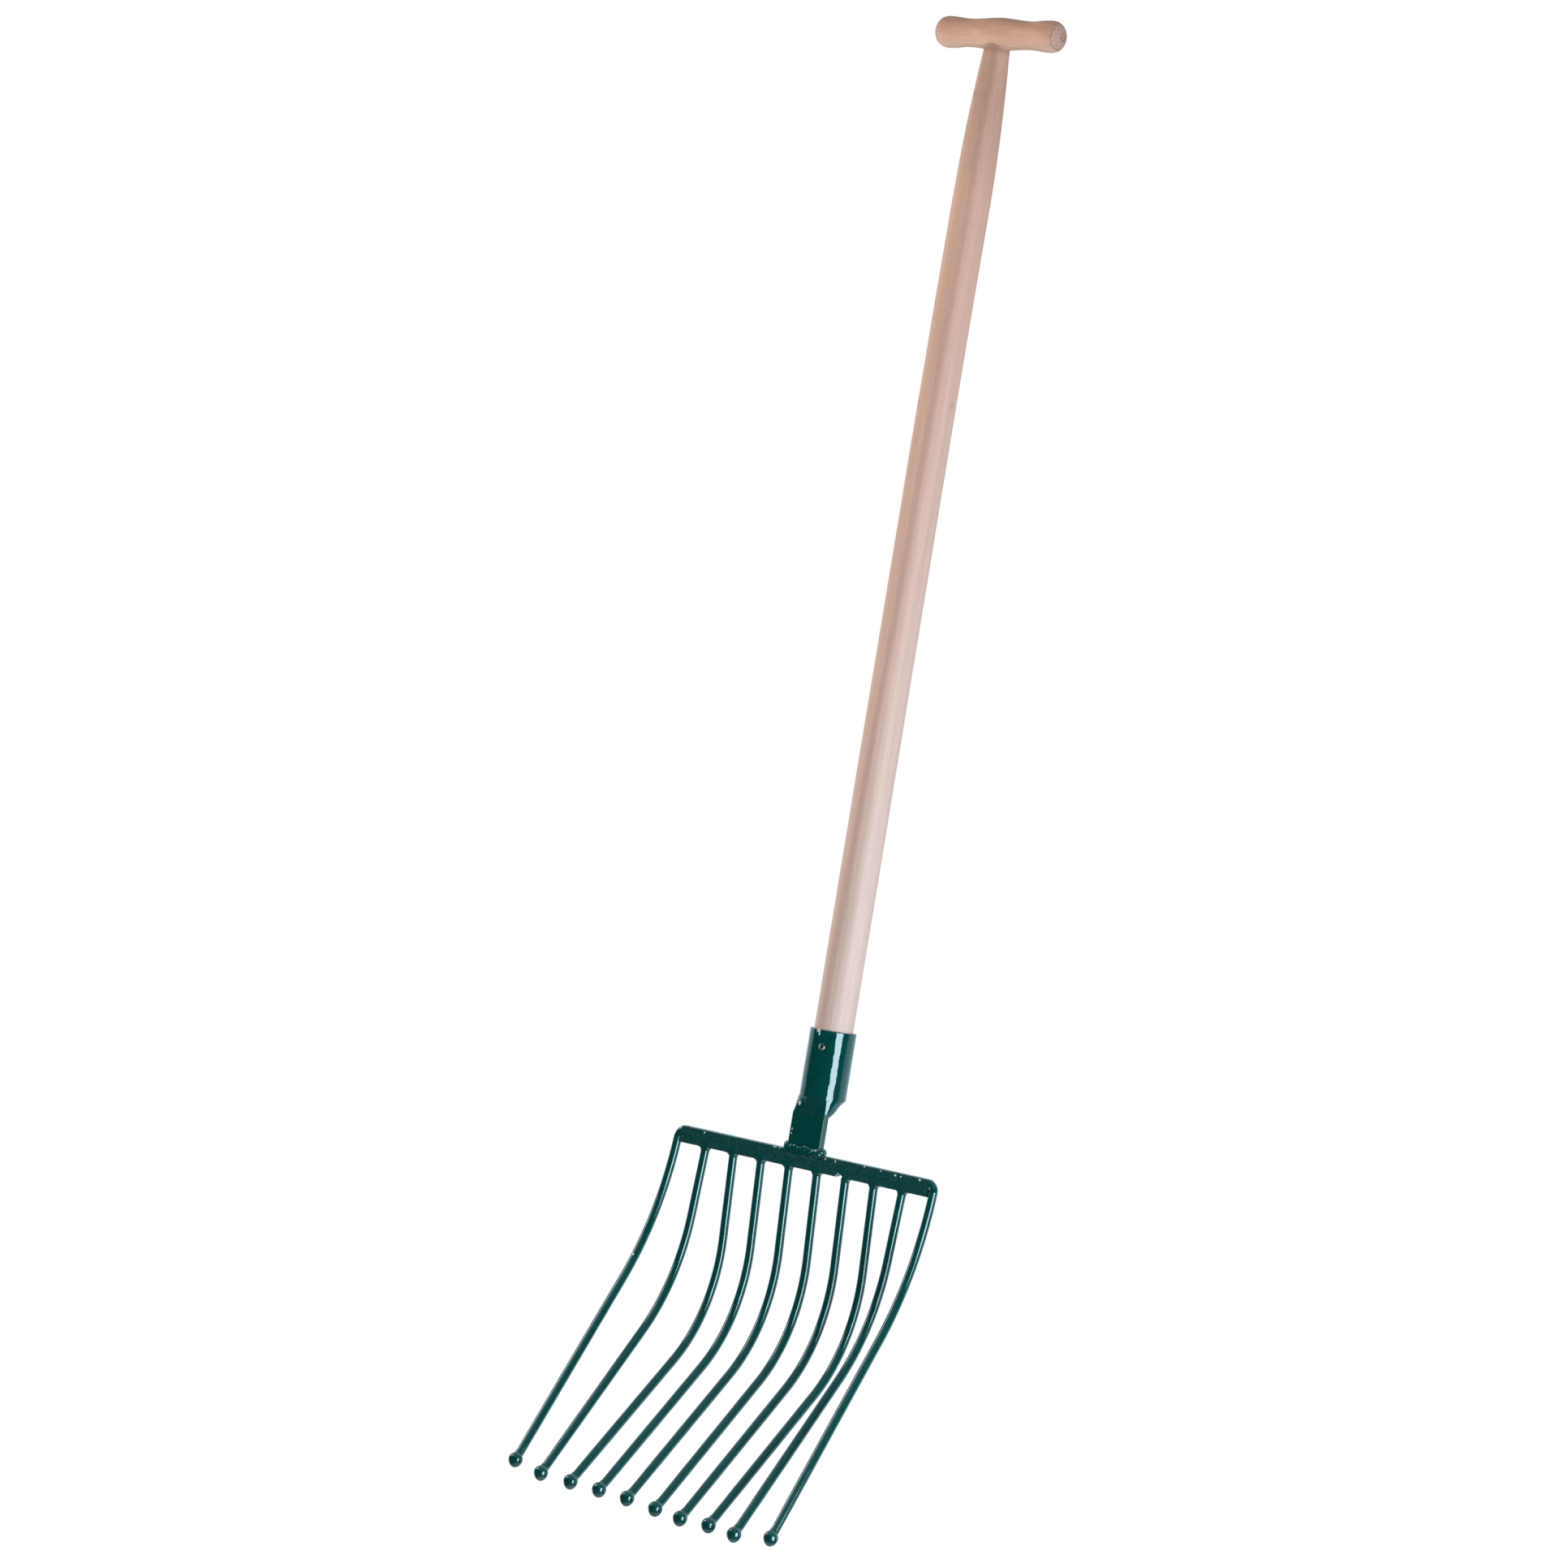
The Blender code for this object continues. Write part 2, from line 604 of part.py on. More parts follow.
def make_corner_weld(number):
    """The weld that fills the corner between an inner rod's bend, the row above it and the
    next arm's end.  It reaches in as far as the middle of the bend."""
    arm_side = -1 if number <= TINE_COUNT // 2 else 1
    bend_middle = ROD_BEND_RADIUS * (1 - math.cos(math.pi / 4))
    left, right = sorted((arm_side * bend_middle, -arm_side * ROD_RADIUS))
    depth = ROD_RADIUS - CORNER_WELD_SINK
    weld = block(f"corner_weld_{number:02d}", (left, -depth, -ROW_OFFSET - bend_middle),
                 (right, depth, -SEAT_GAP / 2), look=GREEN_ENAMEL)
    weld.location += Vector((tine_place(number), BAR_Y, BAR_Z))
    cut(weld, corner_space(number))
    return weld


def make_spacer():
    """The short length of rod that fills the bar's lower row under the neck."""
    half = TINE_PITCH / 2 - ROD_RADIUS - SEAT_GAP
    middle = tine_place(TINE_COUNT // 2) + TINE_PITCH / 2
    along = Vector((1.0, 0.0, 0.0))
    front = Vector((0.0, -1.0, 0.0))
    rings = [rod_ring(Vector((x, 0.0, -ROW_OFFSET)), along, front, 1.0) for x in (-half, half)]
    spacer = loft("centre_spacer", rings, GREEN_ENAMEL)
    spacer.location = (middle, BAR_Y, BAR_Z)
    return spacer


RIVET_HOLE = drill("rivet_drill", RIVET_DIAMETER / 2 + SEAT_GAP, 3 * SOCKET_RADIUS,
                   Vector((0.0, 0.0, RIVET_Z)) - RIVET_DIRECTION * 1.5 * SOCKET_RADIUS,
                   RIVET_DIRECTION)
NAIL_HOLE = drill("nail_drill", NAIL_DIAMETER / 2 + SEAT_GAP,
                  NAIL_LENGTH + SEAT_GAP + GRIP_MIDDLE_DIAMETER,
                  (0.0, NAIL_HEAD_Y + GRIP_MIDDLE_DIAMETER, NAIL_Z), (0.0, -1.0, 0.0), NAIL_SIDES)
NAIL_HEAD_HOLE = drill("nail_head_drill", NAIL_HEAD_DIAMETER / 2 + SEAT_GAP,
                       NAIL_HEAD_THICKNESS + SEAT_GAP + GRIP_MIDDLE_DIAMETER,
                       (0.0, NAIL_HEAD_Y + GRIP_MIDDLE_DIAMETER, NAIL_Z), (0.0, -1.0, 0.0),
                       NAIL_SIDES)

make_shaft()
make_grip()
make_nail()
make_socket()
make_rivet()
make_weld()
make_spacer()
for tine_number in range(1, TINE_COUNT + 1):
    make_tine(tine_number)
for tine_number in range(2, TINE_COUNT):
    make_corner_weld(tine_number)
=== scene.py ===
import math

import bpy
import numpy as np
from mathutils import Matrix, Vector


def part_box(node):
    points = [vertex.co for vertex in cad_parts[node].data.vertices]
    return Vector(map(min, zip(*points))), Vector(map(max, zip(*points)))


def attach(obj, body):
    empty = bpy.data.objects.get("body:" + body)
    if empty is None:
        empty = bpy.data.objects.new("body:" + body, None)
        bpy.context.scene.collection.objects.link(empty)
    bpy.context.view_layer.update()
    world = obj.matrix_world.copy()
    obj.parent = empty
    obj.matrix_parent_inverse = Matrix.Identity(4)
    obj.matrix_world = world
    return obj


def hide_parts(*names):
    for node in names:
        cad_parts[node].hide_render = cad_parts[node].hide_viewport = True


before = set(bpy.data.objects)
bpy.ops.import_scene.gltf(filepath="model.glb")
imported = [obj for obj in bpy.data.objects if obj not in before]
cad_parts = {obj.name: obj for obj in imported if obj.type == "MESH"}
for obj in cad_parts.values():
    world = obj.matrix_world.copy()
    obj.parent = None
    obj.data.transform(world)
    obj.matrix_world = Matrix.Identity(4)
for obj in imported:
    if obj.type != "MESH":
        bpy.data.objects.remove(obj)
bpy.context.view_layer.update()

bl_info = {
    "name": "Ball-tipped pitchfork",
    "version": (1, 0, 0),
    "blender": (4, 5, 0),
    "location": "3D View > Sidebar > Pitchfork",
    "description": "Builds the finished surfaces of a ten-tine ball-tipped pitchfork",
    "category": "Add Mesh",
}


def hex_colour(code):
    """Turn an sRGB hex colour into linear values with alpha."""
    channels = [int(code[place:place + 2], 16) / 255 for place in (0, 2, 4)]
    linear = [c / 12.92 if c <= 0.04045 else ((c + 0.055) / 1.055) ** 2.4 for c in channels]
    return (*linear, 1.0)


# Places read from the frame

def mean(low, high):
    """The middle of two corners."""
    return (low + high) / 2


GRIP_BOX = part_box("grip_bar")
SHAFT_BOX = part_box("handle_shaft")
SOCKET_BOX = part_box("socket")
RIVET_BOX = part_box("socket_rivet")
SPACER_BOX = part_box("centre_spacer")
NAIL_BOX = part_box("grip_nail")
BALL_NODES = sorted(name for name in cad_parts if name.startswith("tip_ball"))
TINE_NODES = sorted(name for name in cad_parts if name.startswith("tine"))
TINE_COUNT = len(TINE_NODES)
RIM_Z = SOCKET_BOX[1].z
SHAFT_FOOT_Z = SHAFT_BOX[0].z
SHAFT_TOP_Z = SHAFT_BOX[1].z
NECK_FOOT_Z = SOCKET_BOX[0].z
GRIP_CENTRE = mean(*GRIP_BOX)
RIVET_CENTRE = mean(*RIVET_BOX)
SPACER_CENTRE = mean(*SPACER_BOX)
BAR_Y = SPACER_CENTRE.y


def length_property(name, description, default):
    """A length setting in metres."""
    return bpy.props.FloatProperty(name=name, description=description, default=default,
                                   unit='LENGTH', precision=4)


def angle_property(name, description, default):
    """An angle setting."""
    return bpy.props.FloatProperty(name=name, description=description, default=default,
                                   subtype='ANGLE')


def colour_property(name, description, code):
    """A colour setting whose default is an sRGB hex colour."""
    return bpy.props.FloatVectorProperty(name=name, description=description, subtype='COLOR',
                                         size=4, min=0.0, max=1.0, default=hex_colour(code))


class HandleSizes(bpy.types.PropertyGroup):
    """Sizes of the wooden handle."""
    shaft_diameter: length_property(
        "Shaft diameter", "Thickness of the shaft at the socket", 0.041)
    shaft_top_diameter: length_property(
        "Top diameter", "Thickness of the shaft where its top taper starts", 0.040)
    shaft_end_diameter: length_property(
        "End diameter", "Thickness of the shaft where it meets the grip", 0.027)
    top_taper_length: length_property(
        "Taper length", "Length of the top taper under the grip", 0.168)
    bow: length_property("Bow", "How far the seasoned wood bows aside at the grip", 0.0015)
    grip_length: length_property(
        "Grip length", "Length of the T-grip", GRIP_BOX[1].x - GRIP_BOX[0].x)
    grip_middle: length_property("Grip middle", "Thickness of the grip at its middle", 0.034)
    grip_waist: length_property("Grip waist", "Thickness of the grip at its two waists", 0.0295)
    grip_bulge: length_property(
        "Grip bulge", "Thickness of the grip before its rounded ends", 0.033)
    waist_place: bpy.props.FloatProperty(
        name="Waist place", description="Place of a waist as a share of the half length",
        default=0.47)
    dome_length: length_property("Dome length", "Length of a rounded end", 0.016)


class HeadSizes(bpy.types.PropertyGroup):
    """Sizes of the steel head."""
    rod_diameter: length_property(
        "Rod diameter", "Thickness of the rods that the head is made of", 0.009)
    pitch: length_property("Pitch", "Distance between neighbouring tines", 0.036)
    outer_pitch: length_property(
        "Outer pitch", "Distance between the outer two tines of each side", 0.0375)
    bend_radius: length_property(
        "Bend radius", "Radius of a rod's middle line in its corner", 0.0088)
    edge_radius: length_property("Edge radius", "Rounding of the bar's long edges", 0.0015)
    socket_wall: length_property("Socket wall", "Thickness of the socket's tube", 0.0038)
    neck_width: length_property("Neck width", "Width of the flat neck", 0.0407)
    neck_thickness: length_property("Neck thickness", "Thickness of the flat neck", 0.0088)
    neck_aside: length_property("Neck aside", "How far the neck lies to -X of the shaft", 0.0012)
    neck_length: length_property("Neck length", "Length of the flat neck", 0.0381)
    pressed_length: length_property(
        "Pressed length", "Length over which the tube turns into the neck", 0.019)
    ball_diameter: length_property("Ball diameter", "Thickness of the balls on the tips", 0.015)
    ball_drip: length_property("Ball drip", "Length of the enamel drip under a ball", 0.0012)


class StageSizes(bpy.types.PropertyGroup):
    """The camera and the floor."""
    camera_azimuth: angle_property(
        "Camera azimuth", "Turn of the camera round the fork from its front",
        math.radians(35.1668))
    camera_elevation: angle_property(
        "Camera elevation", "Height angle of the camera", math.radians(0.0973))
    camera_roll: angle_property(
        "Camera roll", "Turn of the picture, which makes the fork lean", math.radians(9.3585))
    camera_distance: length_property(
        "Camera distance", "Distance from the camera to its target", 4.7734)
    lens: bpy.props.FloatProperty(
        name="Lens", description="Focal length on a 36 mm wide sensor", default=105.40,
        unit='CAMERA')
    target_height: length_property(
        "Target height", "Height of the camera's target in the frame", -0.7882)
    target_aside: length_property(
        "Target aside", "How far the target lies to the camera's left", 0.0927)
    floor_below: length_property(
        "Floor below", "How far the floor lies under the lowest ball", 0.45)


class Finishes(bpy.types.PropertyGroup):
    """Colours of the wood, the enamel and the steel."""
    shaft_pale: colour_property("Shaft, lower", "Beech of the lower shaft", "E9CFC4")
    shaft_warm: colour_property("Shaft, upper", "Beech of the upper shaft", "DDB19D")
    # Partly painted warm light on the shaft's left side
    shaft_tan: colour_property("Shaft, left side", "Tan side of the shaft", "D4AA92")
    # Partly painted shade down the shaft's front
    shaft_band: colour_property("Shaft, ring band", "Darker growth rings of the shaft", "BC9482")
    grip_light: colour_property("Grip, light", "Main beech of the grip", "D9AA91")
    # Also paints the shade on the grip's top
    grip_dark: colour_property("Grip, dark", "Darker patches of the grip", "BD8F7B")
    grip_end: colour_property("Grip, end grain", "End grain of the grip", "C6A191")
    # Also paints light from below on the grip's underside
    grip_plug_and_underlight: colour_property("Grip, plug", "Pale plug in the grip", "E9C6AF")
    # Also the colour of the knocks' bruises and of the painted shade at the shaft's joint
    wood_mark_and_shade: colour_property("Grip, lathe mark", "Burnt mark of the lathe's centre", "865B4A")
    enamel_deep: colour_property("Enamel, thick", "Enamel where it is thick", "02433E")
    enamel_thin: colour_property("Enamel, thin", "Enamel where it is thin", "064D49")
    enamel_dull: colour_property("Enamel, dull", "Enamel over rough steel", "2C5550")
    # Also the colour of the painted glints on the bar
    enamel_chip_and_glint: colour_property("Enamel, chip", "Bare bright steel in a chip", "DBDEDD")
    enamel_edge: colour_property("Enamel, edge", "Steel and rust at a worn edge", "6B6A60")
    steel_light: colour_property("Steel, light", "Bright steel", "D4D2CE")
    steel_dark: colour_property("Steel, dark", "Dull steel", "8E8C88")
    steel_hollow: colour_property("Steel, hollow", "Oxide in the rivet's dimple", "3A3836")


def sizes(name):
    """One of the scene's property groups."""
    return getattr(bpy.context.scene, "pitchfork_" + name)


def tint(name):
    """One of the finishes' colours."""
    return tuple(getattr(sizes("finishes"), name))


# Surfaces

UP = np.array([0.0, 0.0, 1.0])


def unit(vectors):
    """The vectors at length 1."""
    return vectors / np.linalg.norm(vectors, axis=-1)[..., None]


def turns(around):
    """Even angles round a full turn."""
    return np.arange(around) * 2 * np.pi / around


def spokes(angle):
    """Directions in a plane at those angles, as cosine and sine."""
    return np.stack([np.cos(angle), np.sin(angle)], axis=-1)


def quarters(share):
    """The quarter that a share of a turn is in, and how far it has risen from the X axis
    towards the Y axis there."""
    index = np.floor(share * 4).astype(int) % 4
    rest = (share * 4) % 1.0
    return index, np.where(index % 2 == 0, rest, 1 - rest)


def unevenness(points, wave, seed):
    """A smooth random field in about -1 to 1 at points of an (..., 3) array: a sum of sine
    waves in random directions, whose length is about the given wave length."""
    source = np.random.default_rng(seed)
    waves = 14
    direction = unit(source.normal(size=(waves, 3)))
    rate = 2 * np.pi / wave * source.uniform(0.6, 1.5, waves)
    phase = source.uniform(0, 2 * np.pi, waves)
    field = np.sin(points @ (direction * rate[:, None]).T + phase)
    return field.sum(axis=-1) / math.sqrt(waves) / 1.5


def layers(points, waves):
    """Several uneven fields on top of each other: each wave is its height, length and seed."""
    return sum(height * unevenness(points, length, seed) for height, length, seed in waves)


def smoothstep(value):
    """0 below 0, 1 above 1, and a smooth rise between."""
    value = np.clip(value, 0.0, 1.0)
    return value * value * (3 - 2 * value)


def between(value, start, end):
    """How far a value has gone from a start to an end, as a smooth share."""
    return smoothstep((value - start) / (end - start))


def bell(value, middle, width):
    """A smooth bump of height 1 at the middle."""
    return np.exp(-((value - middle) / width) ** 2)


def skin(name, rows, fields=None, angle=38.0, ring=False):
    """Make a closed surface from a (row, column, 3) grid whose columns run round.  Each row
    is joined to the next.  A ring's last row is joined to its first.  Otherwise the first and
    last rows are closed by a fan to their middles.  Edges sharper than the angle, in degrees,
    stay sharp.  Fields are arrays of (row, column) that become point attributes."""
    count, around = rows.shape[:2]
    grid = np.arange(count * around).reshape(count, around)
    points, fans = rows.reshape(-1, 3), np.zeros((0, 3), int)
    if ring:
        grid = np.concatenate([grid, grid[:1]])
    beside = np.roll(grid, -1, axis=1)
    quads = np.stack([grid[:-1], beside[:-1], beside[1:], grid[1:]], axis=-1).reshape(-1, 4)
    if not ring:
        points = np.concatenate([points, rows[:1].mean(axis=1), rows[-1:].mean(axis=1)])
        first = np.full(around, count * around)
        fans = np.concatenate([np.stack([grid[0], first, beside[0]], axis=-1),
                               np.stack([beside[-1], first + 1, grid[-1]], axis=-1)])
    corner = points[np.concatenate([quads[:, (0, 1, 2)], quads[:, (0, 2, 3)], fans])]
    volume = np.einsum('ij,ij->i', corner[:, 0], np.cross(corner[:, 1], corner[:, 2])).sum()
    if volume < 0:
        quads, fans = quads[:, ::-1], fans[:, ::-1]
    mesh = bpy.data.meshes.new(name)
    mesh.vertices.add(len(points))
    mesh.vertices.foreach_set("co", points.astype(np.float32).ravel())
    loops = np.concatenate([quads.ravel(), fans.ravel()]).astype(np.int32)
    mesh.loops.add(len(loops))
    mesh.loops.foreach_set("vertex_index", loops)
    starts = np.concatenate([np.arange(len(quads)) * 4,
                             len(quads) * 4 + np.arange(len(fans)) * 3])
    mesh.polygons.add(len(starts))
    mesh.polygons.foreach_set("loop_start", starts.astype(np.int32))
    mesh.update(calc_edges=True)
    mesh.validate()
    mesh.shade_smooth()
    mesh.set_sharp_from_angle(angle=math.radians(angle))
    for field_name, field in (fields or {}).items():
        values = np.concatenate([field.ravel(), [field[0].mean(), field[-1].mean()]])
        layer = mesh.attributes.new(field_name, 'FLOAT', 'POINT')
        layer.data.foreach_set("value", values[:len(points)].astype(np.float32))
    return new_object(name, mesh)


def new_object(name, data):
    """Make an object of a mesh, a light or a camera and link it to the scene."""
    made = bpy.data.objects.new(name, data)
    bpy.context.scene.collection.objects.link(made)
    return made


def place(piece, material, slot, *nodes):
    """Give a piece its material, let it ride on the fork and stand for its CAD nodes."""
    piece.data.materials.append(material)
    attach(piece, "root")
    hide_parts(*nodes)
    return piece


def pushed(rows, amount):
    """Move the points outwards by an amount, away from the middle of their row."""
    return rows + unit(rows - rows.mean(axis=1, keepdims=True)) * amount[..., None]


def lifted(flat, height):
    """Give each row of flat points its height."""
    return np.concatenate([flat, height[:, None, None] + 0 * flat[..., :1]], axis=-1)


def turned_rows(profile, around):
    """Rings about Z: row i is a circle of profile[i] = (radius, height)."""
    return lifted(profile[:, :1, None] * spokes(turns(around)), profile[:, 1])


def reach(turn, half_out, half_front, edge_in, edge_out):
    """Distance from the middle of a rounded rectangle to its edge in the direction of an
    angle.  The rectangle reaches half_out along angle 0 and half_front along a right angle,
    and its corners have edge_in's radius behind and edge_out's ahead.  The ray meets a flat
    side at side / cosine, or the corner's circle at the larger root of its quadratic."""
    across, front = np.abs(np.cos(turn)), np.abs(np.sin(turn))
    edge = np.where(np.cos(turn) > 0, edge_out, edge_in)
    edge = np.minimum(edge, np.minimum(half_out, half_front))
    centre_out, centre_front = half_out - edge, half_front - edge
    to_side = half_out / np.maximum(across, 1e-9)
    to_front = half_front / np.maximum(front, 1e-9)
    along = across * centre_out + front * centre_front
    inside = along ** 2 - centre_out ** 2 - centre_front ** 2 + edge ** 2
    to_corner = along + np.sqrt(np.maximum(inside, 0.0))
    hits_side = to_side * front <= centre_front
    hits_front = to_front * across <= centre_out
    return np.where(hits_side, to_side, np.where(hits_front, to_front, to_corner))


def section_turns(half_out, half_front, around):
    """Angles round a rounded rectangle, one row of angles per row of half sizes.  The column
    in the middle of each quarter always meets a corner, and columns crowd towards it.  Also
    gives how near each column is to a corner."""
    quarter, rising = quarters(np.arange(around) / around)
    crowded = 0.5 + 0.5 * np.sign(rising - 0.5) * np.abs(2 * rising - 1) ** 1.4
    corner = np.arctan2(half_front, half_out)
    angle = np.where(crowded < 0.5, corner * crowded * 2,
                     corner + (np.pi / 2 - corner) * (crowded * 2 - 1))
    angle = np.where(quarter % 2 == 0, angle, np.pi - angle) + (quarter > 1) * np.pi
    return angle, bell(rising, 0.5, 0.13)


# The beech handle

def shaft_radius(below_grip):
    """Radius of the shaft: a parabola in the top taper, and an even taper below it."""
    handle = sizes("handle")
    share = np.clip(1 - below_grip / handle.top_taper_length, 0.0, 1.0)
    top = handle.shaft_top_diameter
    tapered = top - (top - handle.shaft_end_diameter) * share ** 2
    even = np.clip((below_grip - handle.top_taper_length)
                   / (-RIM_Z - handle.top_taper_length), 0.0, 1.0)
    return np.where(below_grip < handle.top_taper_length, tapered,
                    top + (handle.shaft_diameter - top) * even) / 2


# Rows and columns of the shaft's surface
SHAFT_GRID = (620, 112)
# The flats that the sander leaves, five times as long along the shaft: height, length and
# seed
SANDING = ((0.00012, 0.02, 3),)
# Small knocks on the shaft's edges: height, turn from -Y towards +X, length and depth
KNOCKS = ((-0.048, math.radians(-31.0), 0.004, 0.0006),
          (-0.374, math.radians(-41.0), 0.005, 0.0007),
          (-0.373, math.radians(88.0), 0.004, 0.0005))
KNOCK_WIDTH = 0.16
# How dark the painted shade at the grip's joint is, and how dark the wood is bruised in a knock
JOINT_SHADE = 0.4
KNOCK_BRUISE = 0.35
# The shaft is straight below this height
BOW_START = -0.42


class PITCHFORK_OT_shaft(bpy.types.Operator):
    """Build the turned beech shaft"""
    bl_idname = "pitchfork.shaft"
    bl_label = "Shaft"

    def execute(self, context):
        """A turned surface: the radius is a function of the height, with the sander's faint
        flats and a few knocks taken off, and the wood's bow added to its middle line."""
        handle = sizes("handle")
        count, around = SHAFT_GRID
        height = np.linspace(SHAFT_TOP_Z, SHAFT_FOOT_Z, count)
        turn = turns(around)
        radius = shaft_radius(-height)[:, None]
        rows = turned_rows(np.stack([radius[:, 0], height], axis=-1), around)
        radius = radius + layers(rows * (1, 1, 0.2), SANDING)
        # Painted shade: a dark line round the shaft where it meets the grip
        bruise = JOINT_SHADE * bell(height, 0.0, 0.004)[:, None] + 0 * radius
        for knock_z, knock_turn, length, depth in KNOCKS:
            aside = (turn + np.pi / 2 - knock_turn + np.pi) % (2 * np.pi) - np.pi
            knock = bell(height, knock_z, length)[:, None] * bell(aside, 0.0, KNOCK_WIDTH)
            radius = radius - depth * knock
            bruise = np.maximum(bruise, KNOCK_BRUISE * knock)
        bow = handle.bow * between(height, BOW_START, 0.0)
        middle = bow[:, None] * spokes(sizes("stage").camera_azimuth)
        rows[..., :2] = radius[..., None] * spokes(turn) + middle[:, None]
        place(skin("shaft", rows, {"bruise": bruise}), shaft_wood(), "shaft_beech",
              "handle_shaft")
        return {'FINISHED'}


# Power of the ellipse that rounds the grip's ends
DOME_FULLNESS = 2.6
# The mark of the lathe's centre in an end: distance from the middle and depth
LATHE_MARK = ((0.0036, 0.0002), (0.0030, 0.0005), (0.0024, 0.0003), (0.0018, 0.0007),
              (0.0012, 0.0012), (0.0004, 0.0014))
# Hand sanding's share of the grip's thickness, and the length of its waves
GRIP_SANDING = 0.007
GRIP_WAVE = 0.025
# The burnt mark in an end is a ring and a spot: radius and width.  It lies this near the end
BURNT_RINGS = ((0.0040, 0.0009), (0.0, 0.0011))
BURNT_REACH = 0.006
BURNT_DARKNESS = 0.95


def grip_profile():
    """Radius and place along the grip: a swell in the middle, a waist and a bulge at each
    side, joined by cosine waves, and ends rounded like an ellipse of a higher power.  The
    ends carry the small hole and the ring that the lathe's centres leave."""
    handle = sizes("handle")
    half = handle.grip_length / 2
    dome_start = half - handle.dome_length
    waist_at = handle.waist_place * half
    out = dome_start * np.linspace(0.0, 1.0, 90)
    inner_wave = (1 - np.cos(np.pi * np.clip(out / waist_at, 0, 1))) / 2
    past_waist = (out - waist_at) / (dome_start - waist_at)
    outer_wave = (1 - np.cos(np.pi * np.clip(past_waist, 0, 1))) / 2
    body = (handle.grip_middle + (handle.grip_waist - handle.grip_middle) * inner_wave
            + (handle.grip_bulge - handle.grip_waist) * outer_wave) / 2
    angle = np.linspace(0.0, np.pi / 2, 40)[1:-1]
    dome_radius = handle.grip_bulge / 2 * np.cos(angle)
    dome_out = dome_start + handle.dome_length * np.sin(angle) ** (2 / DOME_FULLNESS)
    mark_radius, mark_depth = np.array(LATHE_MARK).T
    keep = dome_radius > mark_radius[0] + 0.0004
    return (np.concatenate([body, dome_radius[keep], mark_radius]),
            np.concatenate([out, dome_out[keep], half - mark_depth]))


class PITCHFORK_OT_grip(bpy.types.Operator):
    """Build the turned beech T-grip"""
    bl_idname = "pitchfork.grip"
    bl_label = "Grip"

    def execute(self, context):
        """A turned surface about X, from the right end's middle to the left end's, with the
        slight waves that hand sanding leaves."""
        radius, along = grip_profile()
        radius = np.concatenate([radius[::-1], radius[1:]])
        along = np.concatenate([along[::-1], -along[1:]])
        rows = turned_rows(np.stack([radius, along], axis=-1), 128)
        rows *= 1 + GRIP_SANDING * unevenness(rows, GRIP_WAVE, 5)[..., None] * (1, 1, 0)
        rows = rows[..., (2, 0, 1)]
        at_end = np.abs(along) > sizes("handle").grip_length / 2 - BURNT_REACH
        burnt = (at_end * sum(bell(radius, *ring) for ring in BURNT_RINGS))[:, None]
        bruise = BURNT_DARKNESS * burnt * between(unevenness(rows, 0.009, 51), -1.0, 0.2)
        rows = rows + np.array([GRIP_CENTRE.x, 0.0, sizes("handle").grip_middle / 2])
        place(skin("grip", rows, {"bruise": bruise}), grip_wood(), "grip_beech", "grip_bar")
        return {'FINISHED'}


class PITCHFORK_OT_nail(bpy.types.Operator):
    """Build the nail that pins the grip from behind"""
    bl_idname = "pitchfork.nail"
    bl_label = "Nail"

    def execute(self, context):
        """A turned surface about Y: a low domed head over the nail's shank and point."""
        head = (NAIL_BOX[1].x - NAIL_BOX[0].x) / 2
        length = NAIL_BOX[1].y - NAIL_BOX[0].y
        shank, thickness, crown, point = head / 2, 0.0012, 0.0006, 0.004
        angle = np.linspace(0.04, np.pi / 2, 10)
        dome = np.stack([head * np.sin(angle), -crown * (1 - np.cos(angle))], axis=-1)
        under = np.array([[head, -thickness], [shank, -thickness], [shank, -length + point],
                          [shank * 0.1, -length]])
        rows = turned_rows(np.concatenate([dome, under]), 40)[..., (0, 2, 1)]
        middle = mean(*NAIL_BOX)
        rows = rows + np.array([middle.x, NAIL_BOX[1].y, middle.z])
        place(skin("nail", rows), steel(), "bright_steel", "grip_nail")
        return {'FINISHED'}


# The socket and its neck

# In each quarter of the neck's outline, the shares where the short side and the corner end,
# and the shares of the tube's quarter turn that go with them
SIDE_SHARE, CORNER_SHARE = 0.12, 0.36
SIDE_TURN, CORNER_TURN = 0.10, 0.5


def flat_outline(share, width, thickness, edge):
    """A rounded rectangle by a share of one turn from +X.  In each quarter a point runs up
    the short side, then round the corner and then along the long side.  Gives x and y."""
    index, rising = quarters(share)
    on_side = np.clip(rising / SIDE_SHARE, 0, 1)
    on_corner = np.clip((rising - SIDE_SHARE) / (CORNER_SHARE - SIDE_SHARE), 0, 1)
    on_front = np.clip((rising - CORNER_SHARE) / (1 - CORNER_SHARE), 0, 1)
    x = (width / 2 - edge) * (1 - on_front) + edge * np.cos(on_corner * np.pi / 2)
    y = (thickness / 2 - edge) * on_side + edge * np.sin(on_corner * np.pi / 2)
    x = x * np.where((index == 1) | (index == 2), -1, 1)
    return np.stack([x, y * np.where(index > 1, -1, 1)], axis=-1)


def tube_turn(share):
    """The turn on the tube that goes with a share of the neck's outline: the short side and
    the corner take half of each quarter, and the long side takes the rest."""
    index, rising = quarters(share)
    angle = np.interp(rising, (0.0, SIDE_SHARE, CORNER_SHARE, 1.0),
                      (0.0, SIDE_TURN, CORNER_TURN, 1.0)) * np.pi / 2
    return np.where(index % 2 == 0, angle, np.pi / 2 - angle) + index * np.pi / 2


# Places where the enamel is knocked off the socket and neck: x, y, z and radius
SOCKET_CHIPS = ((-0.0022, -0.0245, -1.0335, 0.0024), (-0.0008, -0.0245, -1.0375, 0.0013),
                (-0.0150, -0.0205, -1.1120, 0.0024), (-0.0172, -0.0190, -1.1085, 0.0012),
                (-0.0185, -0.0192, -1.1400, 0.0009), (-0.0190, -0.0192, -1.1450, 0.0008))


